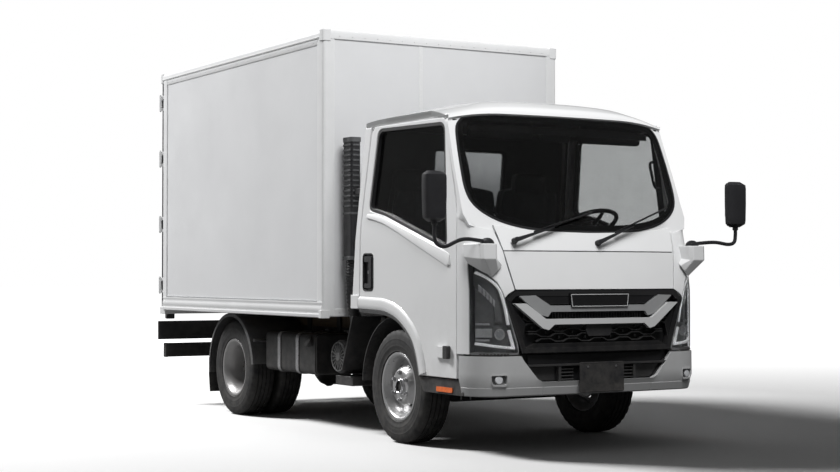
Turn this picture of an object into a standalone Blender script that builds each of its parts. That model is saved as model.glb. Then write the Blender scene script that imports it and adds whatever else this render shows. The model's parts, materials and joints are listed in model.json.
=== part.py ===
"""Cab-over delivery truck with a van body: 60 solids, metres, +Z up, facing -Y, ground at z = 0.

Lengths along y are written from the front axle, as on a truck drawing; node() shifts them to the frame,
whose origin is under the middle of the bounding box. The vehicle's right side is -X.
"""
import bpy
import bmesh
from math import cos, sin, pi, radians, sqrt
from mathutils import Vector

FRONT_AXLE_Y = -1.375
WHEELBASE = 2.475
TYRE_R, TYRE_HALF_W = 0.360, 0.100
FRONT_WHEEL_X, KINGPIN_X = 0.715, 0.600
DUAL_INNER_X, DUAL_OUTER_X = 0.515, 0.745
CAB_HALF_W, CAB_BEND_Z, CAB_LEAN = 0.8475, 1.300, 0.0487
BOX_HALF_W, BOX_FRONT_Y, BOX_REAR_Y = 0.950, 0.762, 3.650
BOX_FLOOR_Z, BOX_TOP_Z, WALL = 0.784, 2.660, 0.030
RAIL_IN, RAIL_OUT, RAIL_LOW, RAIL_HIGH = 0.300, 0.375, 0.520, 0.680
FLOOR_Z = 0.800
GAP = 0.0005
TURN_STEPS = 20

for old in list(bpy.data.objects):
    bpy.data.objects.remove(old, do_unlink=True)

PAINTS = {
    "white_paint": ((0.80, 0.80, 0.80), 0.0, 0.25), "black_plastic": ((0.03, 0.03, 0.03), 0.0, 0.5),
    "chassis_black": ((0.04, 0.04, 0.045), 0.3, 0.5), "glass": ((0.05, 0.06, 0.06), 0.0, 0.05),
    "rubber": ((0.03, 0.03, 0.032), 0.0, 0.8), "wheel_silver": ((0.55, 0.55, 0.56), 0.8, 0.35),
    "body_panel": ((0.82, 0.82, 0.82), 0.0, 0.35), "aluminium": ((0.7, 0.71, 0.72), 0.9, 0.4),
    "grille_black": ((0.02, 0.02, 0.02), 0.1, 0.2), "lamp": ((0.25, 0.26, 0.28), 0.0, 0.1),
    "seat_fabric": ((0.10, 0.10, 0.11), 0.0, 0.9), "steel": ((0.35, 0.35, 0.36), 0.9, 0.4),
    "cast_alloy": ((0.45, 0.45, 0.46), 0.9, 0.5), "grey_plastic": ((0.20, 0.20, 0.21), 0.0, 0.6), "floor_wood": ((0.30, 0.22, 0.14), 0.0, 0.7),
}


def paint(name):
    found = bpy.data.materials.get(name)
    if found is None:
        colour, metal, rough = PAINTS[name]
        found = bpy.data.materials.new(name)
        found.use_nodes = True
        shader = found.node_tree.nodes["Principled BSDF"]
        shader.inputs["Base Color"].default_value = (*colour, 1.0)
        shader.inputs["Metallic"].default_value = metal
        shader.inputs["Roughness"].default_value = rough
        found.diffuse_color = (*colour, 1.0)
    return found


def solid(verts, faces):
    """A temporary closed mesh object with its faces turned outwards."""
    mesh = bpy.data.meshes.new("raw")
    mesh.from_pydata([tuple(v) for v in verts], [], faces)
    bm = bmesh.new()
    bm.from_mesh(mesh)
    bmesh.ops.recalc_face_normals(bm, faces=bm.faces)
    if bm.calc_volume(signed=True) < 0:
        bmesh.ops.reverse_faces(bm, faces=bm.faces)
    bmesh.ops.triangulate(bm, faces=bm.faces)
    bm.to_mesh(mesh)
    bm.free()
    obj = bpy.data.objects.new("raw", mesh)
    bpy.context.scene.collection.objects.link(obj)
    return obj


def place(axis, u, v, w):
    """A point whose outline coordinates are u, v and whose extrusion coordinate is w."""
    return {"x": (w, u, v), "y": (u, w, v), "z": (u, v, w)}[axis]


def prism(axis, outline, low, high):
    """The outline (y, z for axis x; x, z for axis y; x, y for axis z) extruded from low to high."""
    n = len(outline)
    verts = [place(axis, u, v, w) for w in (low, high) for u, v in outline]
    sides = [[i, (i + 1) % n, n + (i + 1) % n, n + i] for i in range(n)]
    return solid(verts, [list(range(n))[::-1], list(range(n, 2 * n))] + sides)


def block(x0, x1, y0, y1, z0, z1):
    return prism("z", [(x0, y0), (x1, y0), (x1, y1), (x0, y1)], z0, z1)


def lathe(axis, profile, centre, steps=TURN_STEPS, sign=1.0, phase=0.0):
    """A closed profile of (along, radius) points turned about an axis; radius 0 points become poles."""
    verts, rings = [], []
    for along, radius in profile:
        if radius == 0:
            rings.append([len(verts)] * steps)
            verts.append((along, 0.0, 0.0))
        else:
            rings.append([len(verts) + k for k in range(steps)])
            turns = [phase + 2 * pi * k / steps for k in range(steps)]
            verts += [(along, radius * cos(t), radius * sin(t)) for t in turns]
    faces = []
    for i, ring in enumerate(rings):
        nxt = rings[(i + 1) % len(rings)]
        if ring[0] == ring[1] and nxt[0] == nxt[1]:
            continue
        for k in range(steps):
            quad = [ring[k], ring[(k + 1) % steps], nxt[(k + 1) % steps], nxt[k]]
            faces.append([v for j, v in enumerate(quad) if v not in quad[:j]])
    turn = {"x": lambda a, b, c: (a, b, c), "y": lambda a, b, c: (b, a, c), "z": lambda a, b, c: (b, c, a)}
    return solid([Vector(turn[axis](sign * a, b, c)) + Vector(centre) for a, b, c in verts], faces)


def cylinder(axis, radius, low, high, u, v, steps=16):
    """A cylinder along an axis from low to high, at the other two coordinates u, v."""
    ring = [(u + radius * cos(2 * pi * k / steps), v + radius * sin(2 * pi * k / steps)) for k in range(steps)]
    return prism(axis, ring, low, high)


def skin(outer, inner):
    """A solid between two grids of points of the same size."""
    rows, cols = len(outer), len(outer[0])
    verts = [p for grid in (outer, inner) for row in grid for p in row]
    half = rows * cols
    faces = []
    for i in range(rows - 1):
        for j in range(cols - 1):
            quad = [i * cols + j, i * cols + j + 1, (i + 1) * cols + j + 1, (i + 1) * cols + j]
            faces += [quad, [half + v for v in quad[::-1]]]
    edge = [j for j in range(cols)] + [i * cols + cols - 1 for i in range(1, rows)]
    edge += [(rows - 1) * cols + j for j in range(cols - 2, -1, -1)] + [i * cols for i in range(rows - 2, 0, -1)]
    for a, b in zip(edge, edge[1:] + edge[:1]):
        faces.append([a, b, half + b, half + a])
    return solid(verts, faces)


def tube(path, radius, steps=8):
    """A round bar along a path of points, with flat ends."""
    points = [Vector(p) for p in path]
    verts = []
    side = None
    for i, p in enumerate(points):
        ahead = (points[min(i + 1, len(points) - 1)] - points[max(i - 1, 0)]).normalized()
        if side is None:
            side = ahead.orthogonal().normalized()
        side = (side - side.dot(ahead) * ahead).normalized()
        other = ahead.cross(side)
        verts += [p + radius * (cos(2 * pi * k / steps) * side + sin(2 * pi * k / steps) * other)
                  for k in range(steps)]
    faces = [list(range(steps))[::-1], list(range(len(verts) - steps, len(verts)))]
    for i in range(len(points) - 1):
        for k in range(steps):
            n = (k + 1) % steps
            faces.append([i * steps + k, i * steps + n, (i + 1) * steps + n, (i + 1) * steps + k])
    return solid(verts, faces)


def combine(base, how, *others):
    """base with the others joined on or cut away, as one mesh; the others are removed."""
    for other in others:
        change = base.modifiers.new("change", "BOOLEAN")
        change.operation, change.solver, change.object = how, "EXACT", other
        graph = bpy.context.evaluated_depsgraph_get()
        made = bpy.data.meshes.new_from_object(base.evaluated_get(graph))
        base.modifiers.clear()
        base.data = made
        bpy.data.objects.remove(other, do_unlink=True)
    return base


def join(base, *others):
    return combine(base, "UNION", *others)


def cut(base, *others):
    return combine(base, "DIFFERENCE", *others)


def node(name, obj, material, origin=(0.0, 0.0, 0.0)):
    """Names a finished solid, moves it to the frame and puts its origin on its joint's axis."""
    pivot = Vector(origin)
    for v in obj.data.vertices:
        v.co = v.co - pivot
    obj.location = pivot + Vector((0.0, FRONT_AXLE_Y, 0.0))
    obj.name = obj.data.name = name
    obj.data.materials.clear()
    obj.data.materials.append(paint(material))
    return obj


def lean(obj, side):
    """Turns a flat solid at distance from the cab's side, x = distance inwards, to the leaning side wall."""
    bm = bmesh.new()
    bm.from_mesh(obj.data)
    everything = list(bm.verts) + list(bm.edges) + list(bm.faces)
    bmesh.ops.bisect_plane(bm, geom=everything, plane_co=(0, 0, CAB_BEND_Z), plane_no=(0, 0, 1), dist=1e-6)
    for v in bm.verts:
        v.co.x = side * (CAB_HALF_W - max(0.0, v.co.z - CAB_BEND_Z) * CAB_LEAN - v.co.x)
    bmesh.ops.recalc_face_normals(bm, faces=bm.faces)
    bm.to_mesh(obj.data)
    bm.free()
    return obj


def slant(obj, side):
    """As lean(), but the lean of the upper part carries straight on down: the plane a window glass slides in."""
    for v in obj.data.vertices:
        v.co.x = side * (CAB_HALF_W - (v.co.z - CAB_BEND_Z) * CAB_LEAN - v.co.x)
    made = copied(obj, -1.0)
    bpy.data.objects.remove(obj, do_unlink=True)
    return made


def copied(obj, side):
    """A copy of a solid made for the right side (-1), mirrored for the left (1)."""
    return solid([(-side * v.co.x, v.co.y, v.co.z) for v in obj.data.vertices],
                 [list(p.vertices) for p in obj.data.polygons])


def nose_y(z):
    """The y of the cab's front on the centre line at a height."""
    table = [(0.30, -1.015), (0.60, -1.045), (0.977, -1.040), (1.210, -0.985), (1.330, -0.930)]
    for (z0, y0), (z1, y1) in zip(table, table[1:]):
        if z <= z1:
            return y0 + (y1 - y0) * (z - z0) / (z1 - z0)
    return table[-1][1]


def nose(s, z, inset=0.0):
    """A point of the cab's rounded front at a height; s runs -2 to 2, |s| up to 1 over the flat middle."""
    side = -1.0 if s < 0 else 1.0
    a = abs(s)
    y_mid = nose_y(z) + inset
    if a <= 1.0:
        return (side * 0.64 * a, y_mid + 0.025 * a * a, z)
    turn = (a - 1.0) * pi / 2
    y_edge = y_mid + 0.025
    return (side * (0.64 + (CAB_HALF_W - 0.64 - inset) * sin(turn)),
            y_edge + (-0.7725 - y_edge) * (1 - cos(turn)), z)


def nose_skin(stations, heights, outset, inset):
    """A curved panel of the cab's front between two depths; heights may be a function of the station."""
    rows = heights if callable(heights) else (lambda s: heights)
    n = len(rows(stations[0]))
    outer = [[nose(s, rows(s)[i], outset) for s in stations] for i in range(n)]
    inner = [[nose(s, rows(s)[i], inset) for s in stations] for i in range(n)]
    return skin(outer, inner)


def sides():
    return (("right", -1.0), ("left", 1.0))


# ---- chassis -------------------------------------------------------------------------------------------
def channel(side, rear):
    """Outline (x, z) of a C-section rail with its open side inwards."""
    web, low, high = 0.010, RAIL_LOW, RAIL_HIGH
    points = [(RAIL_OUT, low), (RAIL_OUT, high), (RAIL_IN, high), (RAIL_IN, high - web), (RAIL_OUT - web, high - web),
              (RAIL_OUT - web, low + web), (RAIL_IN, low + web), (RAIL_IN, low)]
    return prism("y", [(side * x, z) for x, z in points], -0.95, rear)


frame = channel(-1.0, 3.770)
pieces = [channel(1.0, 3.770)]
for y in (-0.90, 1.15, 1.90, 3.05, 3.62):
    pieces.append(block(-RAIL_OUT + 0.005, RAIL_OUT - 0.005, y - 0.025, y + 0.025, 0.575, 0.625))
pieces.append(block(-0.94, 0.94, 3.760, 3.800, 0.525, 0.685))
pieces.append(block(-0.88, 0.88, 3.730, 3.765, 0.385, 0.500))
for x in (-0.34, 0.34):
    pieces.append(block(x - 0.030, x + 0.030, 3.735, 3.762, 0.480, 0.560))
node("ladder_frame", join(frame, *pieces), "chassis_black")

beam = [(-0.572, 0.33), (-0.50, 0.30), (-0.42, 0.25), (0.42, 0.25), (0.50, 0.30), (0.572, 0.33),
        (0.572, 0.40), (0.50, 0.37), (0.40, 0.31), (-0.40, 0.31), (-0.50, 0.37), (-0.572, 0.40)]
node("front_axle", prism("y", beam, -0.045, 0.045), "chassis_black")
axle = cylinder("x", 0.055, -0.497, 0.497, WHEELBASE, TYRE_R)
differential = lathe("x", [(-0.14, 0), (-0.13, 0.09), (-0.05, 0.15), (0.05, 0.15), (0.13, 0.09), (0.14, 0)],
                     (0.03, WHEELBASE, TYRE_R), 12)
node("rear_axle", join(axle, differential), "chassis_black")


def leaf_pack(middle, half, low, eye, thick):
    """Side outline of a leaf spring: eyes at both ends, thicker towards the axle."""
    steps = [k / 5 for k in range(-5, 6)]
    under = [(middle + half * t, low + (eye - low) * t * t + (0.0 if abs(t) < 0.99 else 0.004)) for t in steps]
    over = [(middle + half * t, low + (eye - low) * t * t + thick * (1 - 0.75 * abs(t))) for t in steps]
    return under + over[::-1]


for name, side in sides():
    x0, x1 = sorted((side * 0.305, side * 0.365))
    node("leaf_spring_front_" + name, prism("x", leaf_pack(0.0, 0.56, 0.3115, 0.480, 0.040), x0, x1), "chassis_black")
    node("leaf_spring_rear_" + name, prism("x", leaf_pack(WHEELBASE, 0.60, 0.4165, 0.490, 0.048), x0, x1),
         "chassis_black")

engine = block(-0.20, 0.20, -0.44, 0.28, 0.46, 0.76)
sump = block(-0.14, 0.14, 0.06, 0.26, 0.38, 0.47)
gearbox = prism("y", [(-0.16, 0.46), (0.16, 0.46), (0.13, 0.70), (-0.13, 0.70)], 0.27, 0.62)
tail = block(-0.09, 0.09, 0.61, 0.92, 0.46, 0.60)
shaft = tube([(0.0, 0.90, 0.52), (0.0, 2.30, 0.395)], 0.035, 10)
node("engine_gearbox", join(engine, sump, gearbox, tail, shaft), "cast_alloy")

tank = [(-0.795, 0.400), (-0.765, 0.366), (-0.420, 0.366), (-0.392, 0.395), (-0.392, 0.620), (-0.420, 0.650),
        (-0.770, 0.650), (-0.795, 0.620)]
node("fuel_tank", prism("y", tank, 1.173, 2.000), "chassis_black")
drum = cylinder("x", 0.115, -0.790, -0.500, 0.835, 0.511, 20)
stub = block(-0.54, -0.385, 0.80, 0.87, 0.56, 0.62)
node("air_cleaner", join(drum, stub), "black_plastic")

bumper_half = [0.0, 0.35, 0.695, 0.885, 1.0, 1.2, 1.45, 1.7, 1.96]
bumper_stations = [-t for t in bumper_half[:0:-1]] + bumper_half


def bumper_skin(inset):
    """Rows of the bumper from its lower lip up; the middle is cut down for the lower air intake."""
    grid = []
    for row in range(4):
        line = []
        for s in bumper_stations:
            z = (0.352, 0.380, 0.410, 0.435 if abs(s) < 0.8 else 0.590)[row]
            x, y, _ = nose(s, 0.60, inset)
            line.append((x * (1.008 if abs(s) > 1.0 else 1.0), min(y - 0.005 + (0.02 if row == 0 else 0.0), -0.800), z))
        grid.append(line)
    return grid


node("front_bumper", join(skin(bumper_skin(0.0), bumper_skin(0.045)),
                          block(-0.70, 0.70, -0.9995, -0.955, 0.400, 0.545)), "white_paint")

# ---- van body ------------------------------------------------------------------------------------------
floor = block(-0.918, 0.918, BOX_FRONT_Y + 0.032, BOX_REAR_Y, 0.8435, 0.880)
sills = [block(s * 0.34 - 0.03, s * 0.34 + 0.03, 0.80, 3.64, RAIL_HIGH + 0.0005, 0.850) for s in (-1, 1)]
node("box_floor", join(floor, *sills), "floor_wood")
node("box_front_wall", block(-BOX_HALF_W, BOX_HALF_W, BOX_FRONT_Y, BOX_FRONT_Y + WALL, BOX_FLOOR_Z, BOX_TOP_Z),
     "body_panel")
for name, side in sides():
    x0, x1 = sorted((side * (BOX_HALF_W - WALL), side * BOX_HALF_W))
    node("box_%s_wall" % name, block(x0, x1, BOX_FRONT_Y + WALL + GAP, BOX_REAR_Y, BOX_FLOOR_Z, BOX_TOP_Z), "body_panel")
roof_tray = block(-0.956, 0.956, BOX_FRONT_Y - 0.008, 3.690, BOX_TOP_Z + GAP, 2.722)
cut(roof_tray, block(-0.915, 0.915, BOX_FRONT_Y + 0.033, 3.645, 2.600, 2.706))
node("box_roof", roof_tray, "aluminium")

for name, side in sides():
    angles = [radians(a) for a in (172, 150, 128, 106, 84, 62, 40, 18, -6)]
    xs = (side * 0.402, side * 0.865)
    outer = [[(x, WHEELBASE + 0.416 * cos(a), TYRE_R + 0.416 * sin(a)) for a in angles] for x in xs]
    inner = [[(x, WHEELBASE + 0.408 * cos(a), TYRE_R + 0.408 * sin(a)) for a in angles] for x in xs]
    node("mudguard_" + name, skin(outer, inner), "grey_plastic")

DOOR_PIN = (BOX_HALF_W + 0.020, 3.670)
for name, side in sides():
    x0, x1 = sorted((side * 0.0015, side * (BOX_HALF_W - 0.001)))
    pin = (side * DOOR_PIN[0], DOOR_PIN[1], 0.80)
    door = block(x0, x1, BOX_REAR_Y + 0.002, BOX_REAR_Y + 0.037, 0.800, 2.650)
    node("cargo_door_" + name, door, "body_panel", pin)
    rod_x = side * 0.100
    rod_y = BOX_REAR_Y + 0.037 + 0.016
    rod = cylinder("z", 0.012, 0.815, 2.635, rod_x, rod_y, 10)
    hx0, hx1 = sorted((side * 0.100, side * 0.330))
    handle = block(hx0, hx1, rod_y - 0.006, rod_y + 0.006, 1.300, 1.330)
    node("lock_rod_" + name, join(rod, handle), "steel", (rod_x, rod_y, 1.3))

# ---- cab structure -------------------------------------------------------------------------------------
deck = block(-0.775, 0.775, -0.820, 0.515, FLOOR_Z, FLOOR_Z + 0.015)
wells = []
for _, side in sides():
    x = sorted((side * 0.600, side * 0.790))
    wells.append(block(x[0], x[1], -0.790, -0.400, 0.415, 0.440))
    x = sorted((side * 0.600, side * 0.615))
    wells.append(block(x[0], x[1], -0.790, -0.400, 0.415, 0.810))
    x = sorted((side * 0.780, side * 0.832))
    wells.append(block(x[0], x[1], -0.790, -0.405, 0.340, 0.440))
node("cab_floor", join(deck, *wells), "chassis_black")

back = prism("x", [(0.520, 0.847), (0.552, 0.847), (0.425, 2.034), (0.395, 2.034)], -0.780, 0.780)
back = cut(back, prism("x", [(0.478, 1.45), (0.60, 1.45), (0.60, 1.93), (0.4266, 1.93)], -0.42, 0.42))
pillars = []
for _, side in sides():
    flat = prism("x", [(0.4430, 0.847), (0.552, 0.847), (0.425, 2.034), (0.3350, 2.034), (0.4280, 1.400)], 0.0, 0.062)
    pillars.append(lean(flat, side))
node("cab_back_wall", join(back, *pillars), "white_paint")

ROOF_ROWS = [(-0.672, 2.056, 2.050, 0.050), (-0.640, 2.100, 2.064, 0.050), (-0.520, 2.142, 2.073, 0.030),
             (-0.200, 2.158, 2.075, 0.0), (0.200, 2.140, 2.073, 0.0), (0.410, 2.078, 2.060, 0.0)]


def roof(drop):
    """Rows of the roof from front to back: y, height in the middle, height at the side, and bow of the row."""
    rows = []
    for y, middle, edge_z, bow in ROOF_ROWS:
        ends = drop if y < -0.65 else (-drop if y > 0.35 else 0.0)
        rows.append([((0.812 - 0.5 * drop) * u, y + bow * u * u + ends,
                      edge_z + (middle - edge_z) * (1.0 - abs(u) ** 3) - drop)
                     for u in (-1.0, -0.93, -0.75, -0.4, 0.0, 0.4, 0.75, 0.93, 1.0)])
    return rows


node("cab_roof", skin(roof(0.0), roof(0.024)), "white_paint")

front = block(-0.775, 0.775, -0.850, -0.822, 0.700, 1.300)
half = [0.0, 0.5, 0.985, 1.0, 1.2, 1.4, 1.6, 1.70, 1.72, 1.86, 2.0]


def front_rows(s):
    """Bottom, middle and top of the fixed painted front: cowl, corner panels and strips before the doors."""
    a = abs(s)
    low = 1.2145 if a < 0.99 else (1.145 if a < 1.71 else 0.602)
    return [low, 1.255, 1.330 + 0.090 * max(0.0, a - 1.0) ** 1.6]


parts = [nose_skin([-a for a in half[:0:-1]] + half, front_rows, 0.0, 0.030),
         prism("x", [(-0.93, 1.285), (-0.84, 1.270), (-0.84, 1.298), (-0.93, 1.315)], -0.635, 0.635)]
for _, side in sides():
    parts.append(block(*sorted((side * 0.70, side * 0.825)), -0.846, -0.8235, 0.71, 1.380))
    foot = [(0.8455, -0.7745), (0.790, -0.7745), (0.770, -0.812), (0.812, -0.838)]
    top = [(0.8115, -0.600), (0.765, -0.600), (0.750, -0.630), (0.780, -0.655)]
    levels = [(1.365, foot), (1.432, foot), (2.020, top)]
    verts = [(side * x, y, z) for z, ring in levels for x, y in ring]
    walls = [[4 * i + k, 4 * i + (k + 1) % 4, 4 * i + 4 + (k + 1) % 4, 4 * i + 4 + k] for i in (0, 1) for k in range(4)]
    parts.append(solid(verts, [[3, 2, 1, 0], [8, 9, 10, 11]] + walls))
node("cab_front", join(front, *parts), "white_paint")


def screen_point(u, v, inset):
    """The windscreen's surface: u from -1 to 1 across, v from 0 at the bottom to 1 at the top."""
    low = Vector((0.775 * u, -0.925 + 0.082 * u * u, 1.335 + 0.075 * abs(u) ** 3))
    high = Vector((0.735 * u, -0.665 + 0.045 * u * u, 2.034 - 0.020 * u ** 4))
    p = low.lerp(high, v)
    return (p.x, p.y + inset, p.z + 0.25 * inset)


across = [-1.0, -0.85, -0.5, 0.0, 0.5, 0.85, 1.0]
node("windscreen", skin([[screen_point(u, v, 0.004) for u in across] for v in (0, 0.5, 1)],
                        [[screen_point(u, v, 0.010) for u in across] for v in (0, 0.5, 1)]), "glass")

node("grille", nose_skin([-0.93, -0.5, 0.0, 0.5, 0.93], [0.602, 0.80, 0.977], 0.006, 0.050), "grille_black")


def lamp_rows(s):
    a = abs(s)
    top = 0.905 + 0.235 * min(1.0, (a - 0.94) / 0.70)
    return [0.612, top]


for name, side in sides():
    stations = [side * t for t in (0.94, 1.1, 1.25, 1.4, 1.55, 1.70)]
    node("headlamp_" + name, nose_skin(stations, lamp_rows, 0.004, 0.035), "lamp")

WHEEL_CENTRE = Vector((0.420, -0.360, 1.395))
COLUMN = Vector((0.0, 0.45, 0.893)).normalized()
dash = [(-0.815, 1.02), (-0.56, 0.98), (-0.50, 1.10), (-0.52, 1.22), (-0.60, 1.30), (-0.80, 1.31)]
shroud = tube([WHEEL_CENTRE - COLUMN * 0.115, WHEEL_CENTRE - COLUMN * 0.380], 0.035, 10)
node("dashboard", join(prism("x", dash, -0.745, 0.745), shroud), "black_plastic")


def seat(x0, x1):
    outline = [(-0.06, 0.8155), (0.40, 0.8155), (0.46, 1.02), (0.375, 1.66), (0.285, 1.66), (0.33, 1.13), (-0.10, 1.17),
               (-0.12, 1.08)]
    return prism("x", outline, x0, x1)


node("driver_seat", seat(0.18, 0.66), "seat_fabric")
node("passenger_seat", seat(-0.66, 0.14), "seat_fabric")
duct = prism("z", [(-0.835, 0.580), (-0.760, 0.580), (-0.760, 0.700), (-0.835, 0.700)], 1.165, 1.985)
bracket = prism("x", [(0.4800, 1.60), (0.4755, 1.64), (0.60, 1.64), (0.60, 1.60)], -0.81, -0.79)
node("intake_duct", join(duct, bracket), "black_plastic")

# ---- doors, glass, handles -----------------------------------------------------------------------------
door_outline = [(-0.768, 0.451), (-0.345, 0.451), (-0.315, 0.550), (-0.260, 0.655), (-0.170, 0.735),
                (-0.050, 0.800), (0.100, 0.835), (0.438, 0.847), (0.423, 1.400), (0.330, 2.000), (0.285, 2.030),
                (-0.570, 2.022), (-0.600, 1.985), (-0.765, 1.440)]
window = [(0.311, 1.502), (0.110, 1.463), (-0.646, 1.242), (-0.563, 1.975), (0.234, 1.992)]
GLASS_DROP = 0.280


def grown(outline, by):
    """The outline moved outwards by a distance at each corner."""
    n, made = len(outline), []
    area = sum(outline[i][0] * outline[(i + 1) % n][1] - outline[(i + 1) % n][0] * outline[i][1] for i in range(n))
    turn = 1.0 if area > 0 else -1.0
    for i in range(n):
        a, b, c = (Vector(outline[(i + k) % n]) for k in (-1, 0, 1))
        d, e = (b - a).normalized(), (c - b).normalized()
        m = Vector((d.y + e.y, -d.x - e.x)) * turn
        made.append(tuple(b + m * (by / (m.dot(Vector((e.y, -e.x)) * turn)))))
    return made


edge = grown(window, 0.012)
pocket = grown(window, 0.016)
pocket = [(y, z - GLASS_DROP - 0.004) for y, z in pocket[:3]] + pocket[2:] + pocket[:1]
DOOR_HINGE = (CAB_HALF_W - 0.0125, -0.740, 0.90)
door = lean(prism("x", door_outline, 0.0, 0.055), -1.0)
cut(door, slant(prism("x", pocket, 0.0265, 0.0355), -1.0), lean(prism("x", window, -0.05, 0.10), -1.0),
    lean(block(-0.02, 0.0155, 0.254, 0.390, 0.965, 1.203), -1.0))
glass = slant(prism("x", edge, 0.0285, 0.0335), -1.0)
pull = lean(block(0.003, 0.013, 0.262, 0.384, 0.975, 1.195), -1.0)
for name, side in sides():
    node("door_" + name, copied(door, side), "white_paint", (side * DOOR_HINGE[0],) + DOOR_HINGE[1:])
    node("door_glass_" + name, copied(glass, side), "glass")
    node("door_handle_" + name, copied(pull, side), "black_plastic", (side * (CAB_HALF_W - 0.008), 0.264, 1.085))
for used in (door, glass, pull):
    bpy.data.objects.remove(used, do_unlink=True)

# ---- mirrors, wipers, lid, steering wheel --------------------------------------------------------------
MIRROR_PIVOT = (0.770, -0.985, 1.262)
for name, side in sides():
    px, py, pz = MIRROR_PIVOT
    dip = -0.030 if side < 0 else 0.0
    path = [(side * px, py, pz), (side * (px + 0.17), py - 0.010, pz + 0.012), (side * (px + 0.29), py - 0.01, pz + dip),
            (side * (px + 0.345), py - 0.005, pz + dip + 0.015), (side * (px + 0.36), py, pz + dip + 0.060),
            (side * (px + 0.36), py, 1.372)]
    dome = lathe("z", [(1.2475, 0), (1.2475, 0.040), (1.268, 0.036), (1.282, 0.018), (1.285, 0)],
                 (side * px, py, 0.0), 12)
    node("mirror_arm_" + name, join(tube(path, 0.010), dome), "black_plastic", (side * px, py, pz))
    hx = side * (px + 0.36)
    outline = [(-0.075, -0.010), (-0.045, -0.048), (0.045, -0.048), (0.075, -0.010), (0.075, 0.020), (-0.075, 0.020)]
    head = prism("z", [(hx + u, py + v) for u, v in outline], 1.3725, 1.665)
    node("mirror_head_" + name, head, "black_plastic", (hx, py, 1.40))

WIPER_PIVOTS = {"right": (-0.560, -0.958, 1.268), "left": (0.045, -0.968, 1.260)}
SCREEN_NORMAL = Vector((0.0, -0.9435, 0.3315))
for name, (px, py, pz) in WIPER_PIVOTS.items():
    up = Vector((0.0, 0.3315, 0.9435))
    across_dir = Vector((1.0, 0.0, 0.0))
    tip_angle = radians(21.0 if name == "left" else 16.0)
    along = cos(tip_angle) * across_dir + sin(tip_angle) * up
    base = Vector((px, py, pz)) + SCREEN_NORMAL * 0.030
    elbow = base + along * 0.30 + SCREEN_NORMAL * 0.006
    arm = tube([base - along * 0.010, elbow], 0.007, 6)
    blade = tube([base + along * 0.14 + up * 0.012 - SCREEN_NORMAL * 0.004, base + along * 0.62 + up * 0.012 -
                  SCREEN_NORMAL * 0.004], 0.007, 6)
    link = tube([elbow - along * 0.01, elbow + up * 0.012 - SCREEN_NORMAL * 0.008], 0.006, 6)
    boss = tube([Vector((px, py, pz)) - SCREEN_NORMAL * 0.002, base + SCREEN_NORMAL * 0.012], 0.014, 8)
    node("wiper_" + name, join(arm, boss, link, blade), "black_plastic", (px, py, pz))

lid = nose_skin([-0.985, -0.5, 0.0, 0.5, 0.985], [0.9815, 1.08, 1.2085], 0.0, 0.022)
node("front_lid", lid, "white_paint", (0.0, -0.987, 1.2085))


ring = []
for k in range(20):
    a = 2 * pi * k / 20
    u, v = Vector((1, 0, 0)), COLUMN.cross(Vector((1, 0, 0)))
    spoke = cos(a) * u + sin(a) * v
    for j in range(6):
        b = 2 * pi * j / 6
        ring.append(WHEEL_CENTRE + spoke * (0.190 + 0.014 * cos(b)) + COLUMN * 0.014 * sin(b))
rim = solid(ring, [[k * 6 + j, ((k + 1) % 20) * 6 + j, ((k + 1) % 20) * 6 + (j + 1) % 6, k * 6 + (j + 1) % 6]
                   for k in range(20) for j in range(6)])
spokes = [tube([WHEEL_CENTRE - COLUMN * 0.02, WHEEL_CENTRE + 0.190 * (cos(a) * Vector((1, 0, 0)) +
          sin(a) * COLUMN.cross(Vector((1, 0, 0))))], 0.011, 6) for a in (0.0, pi, -pi / 2)]
hub = tube([WHEEL_CENTRE - COLUMN * 0.045, WHEEL_CENTRE + COLUMN * 0.01], 0.055, 12)
column = tube([WHEEL_CENTRE - COLUMN * 0.112, WHEEL_CENTRE - COLUMN * 0.03], 0.022, 8)
node("steering_wheel", join(hub, column, rim, *spokes), "black_plastic", tuple(WHEEL_CENTRE))

# ---- wheels --------------------------------------------------------------------------------------------
TYRE = [(0.060, 0.203), (0.083, 0.218), (0.100, 0.275), (0.088, 0.345), (0.060, 0.360), (-0.060, 0.360),
        (-0.088, 0.345), (-0.100, 0.275), (-0.083, 0.218), (-0.060, 0.203), (-0.084, 0.275), (-0.076, 0.338),
        (0.076, 0.338), (0.084, 0.275)]
FRONT_RIM = [(0.086, 0), (0.080, 0.050), (0.070, 0.118), (0.020, 0.158), (0.072, 0.190), (0.087, 0.214),
             (0.080, 0.2105), (0.034, 0.170), (-0.034, 0.170), (-0.080, 0.2105), (-0.087, 0.214), (-0.070, 0.190),
             (-0.030, 0.162), (0.010, 0.150), (0.058, 0.112), (0.058, 0.065), (-0.035, 0.060), (-0.035, 0)]
DUAL_RIM = [(0.100, 0), (0.100, 0.055), (0.014, 0.075), (0.014, 0.135), (0.050, 0.160), (0.150, 0.162), (0.188, 0.190),
            (0.202, 0.214), (0.195, 0.2105), (0.150, 0.170), (0.075, 0.170), (0.036, 0.2005), (0.028, 0.214),
            (0.012, 0.150), (-0.012, 0.150), (-0.028, 0.214), (-0.036, 0.2005), (-0.075, 0.170), (-0.150, 0.170),
            (-0.195, 0.2105), (-0.202, 0.214), (-0.188, 0.190), (-0.150, 0.162), (-0.050, 0.160), (-0.034, 0.130),
            (-0.130, 0.125), (-0.130, 0)]
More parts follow.
